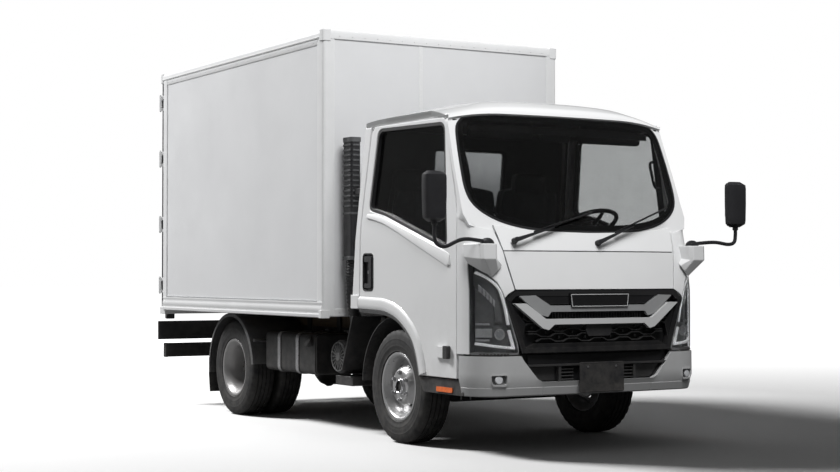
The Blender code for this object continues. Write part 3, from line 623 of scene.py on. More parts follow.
# ---- cab: nose panels, lid, cowl, bumper ---------------------------------------------------------------
def nose_panels():
    lid = mirrored([(0.0, 0.9815), (0.591, 0.9815), (0.6365, 1.2065), (0.0, 1.2065)])
    make(Shape().plate(rounded(lid, 0.004, 2), -0.02, 0.0, face, 0.05), "front_lid_panel", PAINT, "front_lid",
        ["front_lid"], bevel=0.0035)
    top = [(x, 1.326 + 0.062 * (x / 0.775) ** 3) for x in (0.0, 0.15, 0.3, 0.45, 0.56, 0.664)]
    cowl = mirrored([(0.0, 1.2115), (0.6375, 1.2115), top[-1]] + top[-2:0:-1] + [top[0]])
    make(Shape().plate(cowl, -0.022, 0.0, face, 0.05), "cowl_panel", PAINT, "cab", bevel=0.0035)
    inner = Shape().box(-0.775, 0.775, -0.85, -0.822, 0.7, 1.3)
    inner.prism("x", [(-0.895, 1.275), (-0.84, 1.27), (-0.84, 1.298), (-0.895, 1.3)], -0.6, 0.6)
    make(inner, "firewall", TRIM, "cab", ["cab_front"], bevel=0.004)

    def corner(name, side):
        top_edge = [(s, crown(s)) for s in (2.0, 1.85, 1.7, 1.55, 1.4, 1.25)]
        edge = [(1.103, 1.337), (along(0.6435), 1.2085), (along(0.598), 0.978), (1.072, 0.932), (1.1, 0.957),
            (1.2, 1.024), (1.39, 1.081), (1.56, 1.121), (1.712, 1.143), (1.722, 1.139), (1.724, 0.6),
            (2.0, 0.6)]
        panel = Shape().plate(edge + top_edge, -0.022, 0.0, lambda s, z, t: nose(side * s, z, t), 0.07)
        make(panel, "corner_panel_" + name, PAINT, "cab", bevel=0.0035)
        top = [(0.7, -0.93, 1.25), (0.722, -1.018, 1.25), (0.742, -1.035, 1.25), (0.822, -1.035, 1.25),
            (0.842, -1.018, 1.25), (0.864, -0.87, 1.25), (0.8, -0.85, 1.25)]
        rim = [(x, y - 0.003, 1.172 if y > -1.0 else 1.16) for x, y, z in top]
        low = [(0.672, -0.962, 1.15), (0.668, -0.992, 1.124), (0.7, -0.996, 1.09), (0.735, -0.986, 1.056),
            (0.785, -0.955, 1.085), (0.838, -0.88, 1.135), (0.79, -0.85, 1.12)]
        verts = [(side * x, y, z) for ring in (low, rim, top) for x, y, z in ring]
        n = len(top)
        faces = [list(range(n)), [2 * n + k for k in range(n)][::-1]]
        faces += [[i * n + k, i * n + (k + 1) % n, (i + 1) * n + (k + 1) % n, (i + 1) * n + k] for i in (0, 1)
            for k in range(n)]
        make(Shape().add(verts, faces), "mirror_bracket_" + name, PAINT, "cab", bevel=0.005,
            segments=3, angle=20)

    both(corner)


def bumper_face(s, z, out):
    """The bumper's outer face: upright, its lower lip drawn back."""
    tuck = 0.0 if z > 0.412 else 0.01 + 0.25 * (0.412 - z)
    x, y, _ = nose(s, 0.6, out - tuck)
    return (x * (1.006 if abs(s) > 1.0 else 1.0), min(y - 0.005, -0.8), z)


def lower_front():
    half = [(0.0, 0.352), (1.935, 0.352), (1.935, 0.59), (0.875, 0.59), (0.845, 0.56), (0.7, 0.452),
        (0.64, 0.4335), (0.0, 0.4335)]
    fog = rounded([(1.04, 0.418), (1.31, 0.42), (1.34, 0.484), (1.03, 0.486)], 0.05, 6)
    holes = [[(k * s, z) for s, z in fog] for k in (1, -1)]
    body = Shape().plate(mirrored(rounded(half, [0, .01, .012, .012, .03, .03, .01, 0], 4)), -0.03, 0.0,
        bumper_face, 0.045, holes)
    make(body, "bumper_shell", BUMPER, "chassis", ["front_bumper"], bevel=0.004, segments=3)
    lip = Shape()
    for s0, s1 in ((-0.628, 0.628), (0.634, 1.93), (-1.93, -0.634)):
        lip.plate([(s0, 0.356), (s1, 0.356), (s1, 0.404), (s0, 0.404)], -0.01, 0.0035, bumper_face, 0.06)
    make(lip, "bumper_lip", BUMPER, "chassis", bevel=0.003)
    lamps, rims, glow = Shape(), Shape(), Shape()
    for k in (1, -1):
        surf = lambda s, z, t, k=k: bumper_face(k * s, z, t)
        rims.ribbon(fog, [(-0.004, 0.002), (0.006, 0.003), (0.008, -0.02), (-0.002, -0.026)], surf, closed=True)
        lamps.plate(grown(fog, 0.004), -0.034, -0.026, surf, 0.05)
        c = Vector(bumper_face(k * 1.19, 0.452, -0.006))
        n = (c - Vector(bumper_face(k * 1.19, 0.452, -0.03))).normalized()
        glow.lathe([(-0.02, 0.0), (-0.018, 0.014), (0.0, 0.024), (0.004, 0.02), (0.006, 0.0)], c, 28, n)
    make(rims, "fog_lamp_surrounds", BUMPER, "chassis")
    make(lamps, "fog_lamp_backs", LAMP_BACK, "chassis")
    make(glow, "fog_lamp_lenses", CLEAR_LENS, "chassis")
    back = Shape().box(-0.545, 0.545, -0.994, -0.972, 0.425, 0.6)
    back.box(-0.5, 0.5, -1.01, -0.99, 0.53, 0.596)
    make(back, "intake_back", TRIM, "chassis", bevel=0.006)
    slats = Shape()
    for k in (1, -1):
        for z in (0.445, 0.465, 0.485, 0.505):
            slats.prism("x", [(-1.02, z - 0.004), (-0.99, z + 0.003), (-0.99, z + 0.009), (-1.02, z + 0.001)],
                *sorted((k * 0.175, k * 0.27)))
        slats.prism("z", [(k * 0.27, -1.026), (k * 0.288, -1.026), (k * 0.288, -0.99), (k * 0.27, -0.99)],
            0.434, 0.534)
        slats.prism("y", [(k * 0.3, 0.436), (k * 0.42, 0.44), (k * 0.508, 0.52), (k * 0.3, 0.52)], -0.996,
            -0.99)
        slats.prism("y", [(k * 0.425, 0.434), (k * 0.455, 0.434), (k * 0.548, 0.548), (k * 0.52, 0.548)],
            -1.012, -0.99)
    slats.box(-0.535, 0.535, -1.03, -0.992, 0.524, 0.537)
    make(slats, "intake_slats", NET, "chassis", bevel=0.002)
    number = rounded([(-0.165, 0.363), (0.165, 0.363), (0.165, 0.545), (-0.165, 0.545)], 0.01)
    plate = Shape().plate(number, 0.0, 0.004, upright("y", -1.064, -1.0), 0.1)
    plate.ribbon(grown(number, -0.006), [(-0.002, 0.004), (0.002, 0.004), (0.001, 0.0052), (-0.001, 0.0052)],
        upright("y", -1.064, -1.0), closed=True)
    make(plate, "blank_plate", PLASTIC, "chassis", bevel=0.001)
    holder = Shape().box(-0.1, 0.1, -1.063, -0.985, 0.38, 0.4).box(-0.1, 0.1, -1.063, -1.03, 0.5, 0.53)
    make(holder, "plate_holder", CHASSIS, "chassis", bevel=0.003)
    screws = Shape()
    for x in (-0.105, 0.105):
        screws.lathe([(0.0, 0.0), (0.0, 0.007), (0.002, 0.007), (0.004, 0.005), (0.0045, 0.0)],
            (x, -1.068, 0.517), 16, (0, -1, 0))
    make(screws, "plate_screws", STEEL, "chassis")


def grille():
    outline = mirrored([(0.0, 0.602), (0.552, 0.602), (0.664, 0.922), (0.603, 0.976), (0.0, 0.976)])
    back = Shape().plate(outline, -0.052, -0.044, face, 0.06)
    make(back, "grille_back", TRIM, "cab", ["grille"])
    loop = rounded(outline, 0.01, 3)
    frame_ring = Shape().ribbon(loop, [(0.0, -0.05), (0.0, 0.002), (0.006, 0.006), (0.034, 0.001),
        (0.04, -0.012), (0.04, -0.05)], face, closed=True)
    make(frame_ring, "grille_surround", GLOSS, "cab")
    chin = mirrored([(0.0, 0.608), (0.548, 0.608), (0.52, 0.64), (0.47, 0.662), (0.0, 0.662)])
    band = mirrored([(0.0, 0.962), (0.6, 0.962), (0.585, 0.945), (0.465, 0.952), (0.36, 0.892), (0.0, 0.892)])
    wings = Shape().plate(chin, -0.044, -0.004, face, 0.06).plate(band, -0.04, -0.002, face, 0.06)
    for k in (1, -1):
        cheek = [(k * x, z) for x, z in ((0.652, 0.915), (0.628, 0.905), (0.52, 0.78), (0.555, 0.64),
            (0.575, 0.66))]
        wings.plate(cheek, -0.044, -0.006, face, 0.06)
    make(wings, "grille_gloss_panels", GLOSS, "cab", bevel=0.004)
    upper = mirrored(rounded([(0.0, 0.848), (0.352, 0.848), (0.374, 0.818), (0.428, 0.832), (0.572, 0.943),
        (0.46, 0.946), (0.356, 0.885), (0.0, 0.885)], [0, .01, .008, .01, .004, .01, .02, 0], 4))
    lower = mirrored(rounded([(0.0, 0.773), (0.336, 0.773), (0.378, 0.741), (0.418, 0.751), (0.612, 0.899),
        (0.53, 0.899), (0.396, 0.806), (0.0, 0.806)], [0, .01, .008, .01, .003, .01, .02, 0], 4))
    make(Shape().plate(upper, -0.014, 0.005, face, 0.05), "grille_upper_wing", DIM_SATIN, "cab",
        bevel=0.006, segments=3)
    make(Shape().plate(lower, -0.01, 0.018, face, 0.05), "grille_lower_wing", SATIN, "cab",
        bevel=0.009, segments=4)
    plaque = rounded([(-0.212, 0.872), (0.212, 0.872), (0.222, 0.957), (-0.222, 0.957)], 0.006, 3)
    badge = Shape().plate(plaque, -0.02, 0.012, face, 0.06)
    make(badge, "blank_plaque", GLOSS, "cab", bevel=0.003)
    rim = Shape().ribbon(grown(plaque, -0.007), [(-0.0025, 0.011), (0.0025, 0.011), (0.0015, 0.0145),
        (-0.0015, 0.0145)], face, closed=True)
    make(rim, "plaque_rim", SATIN, "cab")
    net = Shape()
    pitch, flat = 0.19, 0.066
    for row in range(6):
        z0, points = 0.672 + 0.03 * row, []
        for i in range(-4, 5):
            for dx, up in ((-flat / 2, 0), (flat / 2, 0), (pitch / 2 - flat / 2 + 0.004, 1),
                    (pitch / 2 + flat / 2 - 0.004, 1)):
                lift = 0.0165 * (up if row % 2 else 1 - up)
                x = i * pitch + dx
                if abs(x) <= 0.5 + (z0 - 0.68) * 0.62:
                    points.append((x, z0 + lift))
        parts = [points] if row < 3 else [[p for p in points if p[0] < -0.36],
            [p for p in points if p[0] > 0.36]]
        for part in parts:
            net.ribbon(part, [(-0.0035, -0.04), (0.0035, -0.04), (0.003, -0.01), (-0.003, -0.01)], face)
    for row in range(5):
        for i in range(-7, 8):
            x, z0 = i * pitch / 2, 0.672 + 0.03 * row
            if (i + row) % 2 == 0 or abs(x) > 0.46 + (z0 - 0.68) * 0.62 or (row > 2 and abs(x) < 0.4):
                continue
            z0 += 0.0165
            net.ribbon([(x, z0), (x, z0 + 0.016)], [(-0.003, -0.04), (0.003, -0.04), (0.0025, -0.014),
                (-0.0025, -0.014)], face)
    for i in range(-16, 17):
        net.ribbon([(i * 0.0205, 0.806), (i * 0.0205, 0.85)], [(-0.0025, -0.044), (0.0025, -0.044),
            (0.002, -0.016), (-0.002, -0.016)], face)
    make(net, "grille_net", NET, "cab", bevel=0.001, segments=1)
    radar = rounded([(-0.08, 0.7), (0.08, 0.7), (0.098, 0.735), (0.09, 0.772), (-0.09, 0.772), (-0.098, 0.735)],
        0.014)
    make(Shape().plate(radar, -0.04, -0.004, face, 0.05), "radar_cover", PLASTIC, "cab",
        bevel=0.006, segments=3)


LAMP = [(1.702, 0.612), (along(0.578), 0.612), (along(0.586), 0.66), (along(0.64), 0.832),
    (along(0.668), 0.932), (1.155, 0.985), (1.25, 1.035), (1.42, 1.082), (1.702, 1.139)]


def headlamps():
    def lamp(name, side):
        surf = lambda s, z, t: nose(side * s, z, t)
        on = front(side)
        outline = rounded(LAMP, [.006, .006, .01, .02, .02, .02, .03, .03, .006], 4)
        case = Shape().plate(outline, -0.062, -0.056, surf, 0.08)
        case.ribbon(outline, [(0.0, -0.06), (0.0, -0.003), (0.012, -0.004), (0.016, -0.018), (0.016, -0.06)],
            surf, closed=True)
        make(case, "headlamp_case_" + name, LAMP_BACK, "cab", ["headlamp_" + name])
        lens = Shape().plate(grown(outline, -0.0015), -0.004, 0.0, surf, 0.06)
        make(lens, "headlamp_lens_" + name, SMOKED, "cab", bevel=0.0012, segments=1)
        upper = spline([(0.806, 1.082), (0.772, 1.06), (0.741, 1.036), (0.7, 0.992), (0.676, 0.93),
            (0.656, 0.862), (0.638, 0.775)], 5)
        lower = [(0.634, 0.742), (0.604, 0.64)]
        foot = [(0.598, 0.636), (0.66, 0.642), (0.73, 0.65), (0.812, 0.664)]
        guide = Shape()
        form = [(-0.008, -0.02), (0.008, -0.02), (0.008, -0.008), (0.004, -0.004), (-0.004, -0.004),
            (-0.008, -0.008)]
        for path in (upper, lower, foot):
            guide.ribbon(path, form, on)
        make(guide, "light_guide_" + name, GUIDE, "cab")
        bezel = Shape()
        bezel.plate([(0.818, 0.66), (0.622, 0.652), (0.655, 0.77), (0.72, 0.77), (0.72, 0.9), (0.818, 0.985)],
            -0.05, -0.034, on, 0.05)
        bezel.plate([(0.82, 1.07), (0.76, 1.035), (0.715, 0.985), (0.69, 0.9), (0.668, 0.79), (0.715, 0.79),
            (0.735, 0.92), (0.82, 1.0)], -0.048, -0.028, on, 0.05)
        make(bezel, "lamp_bezel_" + name, LAMP_BACK, "cab", bevel=0.003)
        mirrors = Shape()
        for i in range(5):
            f = i / 5
            x0, z0 = 0.8 - 0.084 * f, 1.012 - 0.1 * f
            mirrors.plate([(x0, z0), (x0 - 0.014, z0 - 0.017), (x0 - 0.012, z0 - 0.055), (x0, z0 - 0.042)],
                -0.03, -0.02, on, 0.05)
        for z0, z1, x0, x1 in ((0.772, 0.784, 0.812, 0.75), (0.7, 0.752, 0.812, 0.736),
                (0.678, 0.69, 0.812, 0.75)):
            mirrors.plate([(x0, z0), (x1, z0), (x1, z1), (x0, z1)], -0.034, -0.016, on, 0.03)
        c = Vector(on(0.692, 0.718, -0.03))
        n = (Vector(on(0.692, 0.718, 0.0)) - c).normalized()
        mirrors.lathe([(0.0, 0.0), (0.0, 0.03), (0.01, 0.034), (0.012, 0.031), (0.006, 0.026), (0.006, 0.0)], c,
            28, n)
        make(mirrors, "lamp_reflectors_" + name, REFLECTOR, "cab", bevel=0.002)
        ball = Shape().lathe([(0.0, 0.024), (0.01, 0.021), (0.016, 0.012), (0.018, 0.0)], c + n * 0.004, 28, n)
        ball.lathe([(0.0, 0.0), (0.0, 0.024)], c + n * 0.004, 28, n)
        make(ball, "projector_" + name, SMOKED, "cab")
        under = Shape().plate([(1.71, 0.594), (0.885, 0.594), (0.892, 0.609), (1.71, 0.609)], -0.03, -0.004,
            surf, 0.08)
        for i in range(9):
            s = 1.0 + i * 0.062
            under.plate([(s, 0.598), (s + 0.045, 0.598), (s + 0.045, 0.606), (s, 0.606)], -0.006, 0.0005, surf,
                0.08)
        make(under, "lamp_seat_" + name, PLASTIC, "cab", bevel=0.001, segments=1)

    both(lamp)


# ---- cab: glass, pillars, roof, rear ---------------------------------------------------------------------
def screen_outline(grow=0.0):
    """The windscreen's rounded outline in screen coordinates, with flatter lower corners."""
    half = [(0.0, -0.012), (0.45, -0.006), (0.74, 0.02), (0.91, 0.075), (1.0, 0.16), (1.035, 0.29),
        (1.045, 0.5), (1.046, 0.75), (1.038, 0.9), (1.005, 0.975), (0.93, 1.014), (0.62, 1.024), (0.0, 1.024)]
    full = mirrored(half)
    return grown([tuple(p)[:2] for p in spline(full, 4, closed=True)], grow)


def screen_and_pillars():
    edge = screen_outline()
    make(Shape().plate(edge, -0.004, 0.001, screen, 0.08), "windscreen_glass", TINT, "cab",
        ["windscreen"])
    frit = Shape().plate(grown(edge, -0.002), -0.0065, -0.0048, screen, 0.08, [grown(edge, -0.062)])
    shade = [(-0.9, 0.86), (0.9, 0.86), (0.92, 0.93), (-0.92, 0.93)]
    frit.plate(shade, -0.0065, -0.0048, screen, 0.08)
    make(frit, "screen_frit", GLOSS, "cab")
    seal = Shape().ribbon(edge, [(-0.01, -0.01), (0.01, -0.01), (0.012, 0.002), (0.003, 0.0045),
        (-0.008, 0.003)], screen, closed=True)
    make(seal, "screen_seal", SEAL, "cab")
    outer = mirrored([(0.0, -0.1), (1.045, -0.1), (1.085, 0.0), (1.1, 0.5), (1.105, 1.0), (1.08, 1.05),
        (0.0, 1.05)])
    ring = Shape().plate(outer, -0.028, 0.0, screen, 0.07, [grown(edge, 0.008)])
    make(ring, "screen_frame", PAINT, "cab", bevel=0.002)

    def pillar(name, side):
        rows = []
        for lift, out in ((-0.03, -0.012), (-0.002, 0.0008)):
            turns = [1.45 + 0.55 * t for t in (0, 0.2, 0.4, 0.6, 0.8, 1.0)]
            rows.append([Vector(nose(side * s, crown(s) + lift, out)) for s in turns])
        for k in range(13):
            v = k / 12
            a = Vector(screen(side * (1.085 + 0.02 * v), v, 0.0))
            z = 1.432 + (1.992 - 1.432) * v
            b = Vector((side * (CAB_HALF_W - (z - CAB_BEND_Z) * CAB_LEAN), -0.7695 + v ** 1.15 * 0.168, z))
            m = Vector((b.x + side * 0.001, a.y - 0.004, (a.z + b.z) / 2))
            rows.append([a * (1 - t) ** 2 + m * 2 * t * (1 - t) + b * t * t
                for t in (0, 0.2, 0.4, 0.6, 0.8, 1.0)])
        inner = [[p + Vector((-side * 0.022, 0.02, 0)) for p in row] for row in rows]
        make(Shape().skin(rows, inner), "a_pillar_" + name, PAINT, "cab", bevel=0.002)
        trim = [[p + Vector((-side * 0.026, 0.024, 0)) for p in row] for row in rows]
        deep = [[p + Vector((-side * 0.05, 0.034, 0)) for p in row] for row in rows]
        make(Shape().skin(trim, deep), "a_pillar_trim_" + name, TRIM, "cab", bevel=0.004)
        base = Vector((side * 0.745, -0.7, 1.62))
        grip = Shape().tube([base, base + Vector((-side * 0.035, 0.01, 0.015)), base
            + Vector((-side * 0.04, 0.035, 0.09)), base + Vector((-side * 0.035, 0.06, 0.165)), base
            + Vector((0, 0.062, 0.18))], 0.0095, 10, 5)
        make(grip, "grab_handle_" + name, PLASTIC, "cab")

    both(pillar)


ROOF_ROWS = [(-0.672, 2.056, 2.05, 0.05), (-0.655, 2.085, 2.058, 0.05), (-0.62, 2.112, 2.066, 0.046),
    (-0.52, 2.142, 2.073, 0.03), (-0.35, 2.153, 2.075, 0.01), (-0.2, 2.158, 2.075, 0.0),
    (0.0, 2.152, 2.075, 0.0), (0.2, 2.14, 2.073, 0.0), (0.34, 2.11, 2.067, 0.0), (0.41, 2.078, 2.06, 0.0)]


def roof():
    rows = [Vector((r[0], r[1], r[2])) for r in ROOF_ROWS]
    bows = spline([Vector((r[3], 0, 0)) for r in ROOF_ROWS], 4)
    fine = spline(rows, 4)
    us = [k / 24 for k in range(-24, 25)]

    def grid(drop):
        made = []
        for row, bow in zip(fine, bows):
            y, middle, edge = row
            line = []
            for u in us:
                a = abs(u)
                rise = 1.0 / (1.0 + 2.718 ** ((a - 0.7) * 45))
                ends = min(1.0, max(0.0, (y + 0.6) / 0.1)) * min(1.0, max(0.0, (0.36 - y) / 0.1))
                z = edge + (middle - edge) * (1 - a ** 3) + 0.009 * rise * ends - drop
                z -= 0.034 * max(0.0, (a - 0.55) / 0.45) ** 2 * max(0.0, (-0.44 - y) / 0.232)
                line.append(((0.812 - 0.5 * drop) * u, y + bow.x * u * u + (drop if y < -0.6 else 0), z))
            x, y1, z1 = line[-1]
            low = max(2.034, z1 - 0.03) - 0.2 * drop
            line = [(-x - 0.001, line[0][1], low)] + line + [(x + 0.001, y1, low)]
            made.append(line)
        return made

    make(Shape().skin(grid(0.0), grid(0.02)), "roof_panel", PAINT, "cab", ["cab_roof"],
        bevel=0.003)
    lining = Shape().skin([[(0.78 * u, y, 2.03 - 0.02 * u * u) for u in (-1, -.5, 0, .5, 1)]
        for y in (-0.62, -0.2, 0.38)], [[(0.78 * u, y, 2.022 - 0.02 * u * u) for u in (-1, -.5, 0, .5, 1)]
        for y in (-0.62, -0.2, 0.38)])
    make(lining, "roof_lining", TRIM, "cab", bevel=0.003)
    visors = Shape()
    for x in (-0.42, 0.42):
        visors.prism("y", rounded([(x - 0.24, 1.9), (x + 0.24, 1.9), (x + 0.24, 2.02), (x - 0.24, 2.02)], 0.03),
            -0.6, -0.58)
    make(visors, "sun_visors", TRIM, "cab", bevel=0.005)
    side_rails = Shape()
    for side in (-1, 1):
        side_rails.box(side * 0.77, side * 0.806, -0.6, 0.4, 2.02, 2.046)
    make(side_rails, "roof_side_rails", PAINT, "cab", bevel=0.006)


def cab_rear():
    slope = lambda z: (0.552 - (z - 0.847) * 0.107)
    onto = lambda x, z, t: (x, slope(z) + t, z)
    window = rounded([(-0.285, 1.53), (0.285, 1.53), (0.285, 1.915), (-0.285, 1.915)], 0.035)
    wall = rounded([(-0.8, 0.849), (0.8, 0.849), (0.79, 1.4), (0.765, 2.036), (-0.765, 2.036), (-0.79, 1.4)],
        [.01, .01, .01, .05, .05, .01])
    make(Shape().plate(wall, -0.028, 0.0, onto, 0.2, [window]), "cab_rear_wall", PAINT, "cab",
        ["cab_back_wall"], bevel=0.003)
    trim = Shape().plate(grown(wall, -0.02), -0.04, -0.0305, onto, 0.2, [grown(window, 0.004)])
    make(trim, "rear_wall_trim", GREY_TRIM, "cab")
    make(Shape().plate(grown(window, 0.004), -0.018, -0.013, onto, 0.2), "rear_window", TINT, "cab")
    seal = Shape().ribbon(window, [(-0.012, -0.03), (0.01, -0.03), (0.012, 0.003), (-0.01, 0.004)], onto,
        closed=True)
    make(seal, "rear_window_seal", SEAL, "cab")
    ribs = Shape()
    for x in (-0.6, -0.3, 0.0, 0.3, 0.6):
        ribs.ribbon([(x, 0.9), (x, 1.42)], [(-0.022, -0.002), (-0.014, 0.007), (0.014, 0.007), (0.022, -0.002)],
            onto)
    make(ribs, "rear_wall_ribs", PAINT, "cab")

    def pillar(name, side):
        post = [(0.443, 0.849), (0.5505, 0.849), (0.425, 2.034), (0.337, 2.034), (0.429, 1.4)]
        on = flank(side)
        make(Shape().plate(post, -0.058, 0.0, on, 0.15), "b_pillar_" + name, PAINT, "cab",
            bevel=0.01, segments=4)
        make(Shape().plate([(0.425, 0.87), (0.44, 0.87), (0.425, 1.4), (0.33, 2.02), (0.318, 2.02),
            (0.412, 1.4)], -0.075, -0.06, on, 0.15), "b_pillar_trim_" + name, TRIM, "cab",
            bevel=0.003)
        tail = [(0.443, 0.843), (0.548, 0.843), (0.546, 0.935), (0.443, 0.935)]
        make(Shape().plate(tail, -0.004, 0.01, on, 0.1), "flare_tail_" + name, PAINT, "cab",
            bevel=0.006, segments=3)
        liner = [(0.585, 0.79), (0.6, 0.76), (0.735, 0.43), (0.722, 0.424), (0.585, 0.752), (0.57, 0.79)]
        make(Shape().plate(liner, -0.24, -0.02, on, 0.2), "mud_flap_front_" + name, PLASTIC, "cab",
            bevel=0.003)

    both(pillar)


# ---- doors ---------------------------------------------------------------------------------------------
ARCH = [(-0.345, 0.451), (-0.315, 0.55), (-0.26, 0.655), (-0.17, 0.735), (-0.05, 0.8), (0.1, 0.835),
    (0.27, 0.843), (0.438, 0.847)]
WINDOW = [(0.311, 1.502), (0.11, 1.463), (-0.646, 1.242), (-0.563, 1.975), (0.234, 1.992)]


def doors():
    arch = [tuple(p)[:2] for p in spline(ARCH, 4)]
    outline = [(-0.768, 0.451)] + arch + \
        rounded([(0.423, 1.4), (0.33, 2.0), (0.29, 2.03), (-0.57, 2.022), (-0.6, 1.985), (-0.765, 1.44),
                 (-0.7675, 1.3)], [0, 0.09, 0.05, 0.05, 0.08, 0, 0])
    outline = [p for i, p in enumerate(outline) if (Vector(p) - Vector(outline[i - 1])).length > 2e-3]
    opening = rounded(grown(WINDOW, 0.02), [0.05, 0.25, 0.06, 0.07, 0.07])
    clear = rounded(WINDOW, [0.035, 0.25, 0.04, 0.05, 0.05])
    recess = rounded([(0.254, 0.965), (0.39, 0.965), (0.39, 1.203), (0.254, 1.203)], 0.03)

    def door(name, side):
        on = flank(side)
        body = "door_" + name
        skin = Shape().plate(outline, -0.012, 0.0, on, 0.07, [opening, recess])
        skin.plate(outline, -0.05, -0.0125, on, 0.3, [grown(outline, -0.024)])
        make(skin, "door_panel_" + name, PAINT, body, ["door_" + name], bevel=0.0045, segments=3)
        frame_ring = Shape().plate(grown(opening, -0.0008), -0.046, -0.004, on, 0.08, [clear])
        make(frame_ring, "window_frame_" + name, SEAL, body, bevel=0.003)
        ledge = [(0.345, 1.466, 1.436), (0.24, 1.459, 1.42), (0.11, 1.432, 1.392), (-0.06, 1.383, 1.338),
            (-0.3, 1.313, 1.252), (-0.55, 1.24, 1.163), (-0.672, 1.204, 1.119), (-0.6925, 1.19, 1.128)]
        belt = Shape().skin([[on(y, high, 0.0015), on(y, high * 0.7 + low * 0.3, 0.0055),
            on(y, low + 0.006, 0.0115), on(y, low, 0.01), on(y, low - 0.002, -0.004)] for y, high,
            low in ledge], [[on(y, high - (high - low) * k / 4, -0.01) for k in range(5)] for y, high,
            low in ledge])
        make(belt, "door_belt_" + name, PAINT, body, bevel=0.005, segments=3)
        cup = Shape().plate(recess, -0.046, -0.018, on, 0.1)
        cup.ribbon(recess, [(0.004, -0.02), (0.004, 0.002), (-0.005, 0.002), (-0.006, -0.02)], on, closed=True)
        make(cup, "handle_cup_" + name, PLASTIC, body, bevel=0.001)
        grip = rounded([(0.268, 0.982), (0.3, 0.982), (0.3, 1.188), (0.268, 1.188)], 0.014)
        pull = Shape().plate(grip, -0.004, 0.009, on, 0.05).plate(rounded([(0.265, 1.15), (0.375, 1.15),
            (0.375, 1.188), (0.265, 1.188)], 0.012), -0.012, 0.001, on, 0.05)
        pull.plate(rounded([(0.265, 0.981), (0.375, 0.981), (0.375, 1.01), (0.265, 1.01)], 0.012), -0.012,
            0.001, on, 0.05)
        make(pull, "handle_grip_" + name, PLASTIC, "door_handle_" + name,
            ["door_handle_" + name], bevel=0.004, segments=3)
        lock = Shape().lathe([(0.0, 0.0), (0.0, 0.013), (0.003, 0.012), (0.004, 0.0)],
            on(0.345, 1.085, -0.0175), 24, (side, 0, 0))
        make(lock, "door_lock_" + name, STEEL, body)
        ridge = [(0.0, -0.03), (0.0, 0.006), (0.004, 0.0095), (0.03, 0.0115), (0.056, 0.0125), (0.068, 0.0095),
            (0.078, 0.001), (0.078, -0.006)]
        flare = Shape().ribbon(arch, ridge, on)
        make(flare, "arch_flare_" + name, PAINT, body)
        lip = Shape().ribbon(arch, [(o, t) for o, t in ((0.0, -0.04), (0.0, 0.002), (-0.004, 0.005),
            (-0.026, -0.002), (-0.032, -0.04))], on)
        make(lip, "arch_lip_" + name, GREY_PLASTIC, body)
        lamp = rounded([(-0.545, 0.572), (-0.69, 0.572), (-0.69, 0.638), (-0.575, 0.638), (-0.53, 0.612)], 0.01)
        make(Shape().plate(lamp, -0.004, 0.022, on, 0.04), "repeater_base_" + name, PAINT, body,
            bevel=0.008, segments=3)
        lens = rounded([(-0.655, 0.566), (-0.7, 0.566), (-0.7, 0.644), (-0.655, 0.644)], 0.012)
        make(Shape().plate(lens, -0.002, 0.028, on, 0.04), "repeater_lens_" + name, PLASTIC, body,
            bevel=0.006, segments=3)
        lining = [(-0.72, 0.5), (-0.37, 0.5), (-0.33, 0.62), (-0.22, 0.745), (-0.05, 0.83), (0.12, 0.862),
            (0.41, 0.872), (0.395, 1.4), (0.34, 1.47), (0.11, 1.43), (-0.66, 1.205), (-0.735, 1.2)]
        trim = Shape().plate(rounded(lining, 0.02), -0.072, -0.0515, on, 0.15)
        trim.plate(rounded([(-0.5, 1.0), (0.1, 1.0), (0.1, 1.08), (-0.5, 1.08)], 0.03), -0.115, -0.07, on, 0.15)
        trim.plate(rounded([(-0.6, 0.56), (-0.36, 0.56), (-0.3, 0.72), (-0.6, 0.72)], 0.03), -0.1, -0.07, on,
            0.15)
        make(trim, "door_lining_" + name, TRIM, body, bevel=0.008, segments=3)
        hinges = Shape()
        for z in (0.6, 1.12):
            hinges.tube([(side * 0.812, -0.77, z), (side * 0.812, -0.77, z + 0.07)], 0.011, 12)
        make(hinges, "door_hinges_" + name, STEEL, body)
        repaint(TINT, "door_glass_" + name)

    both(door)


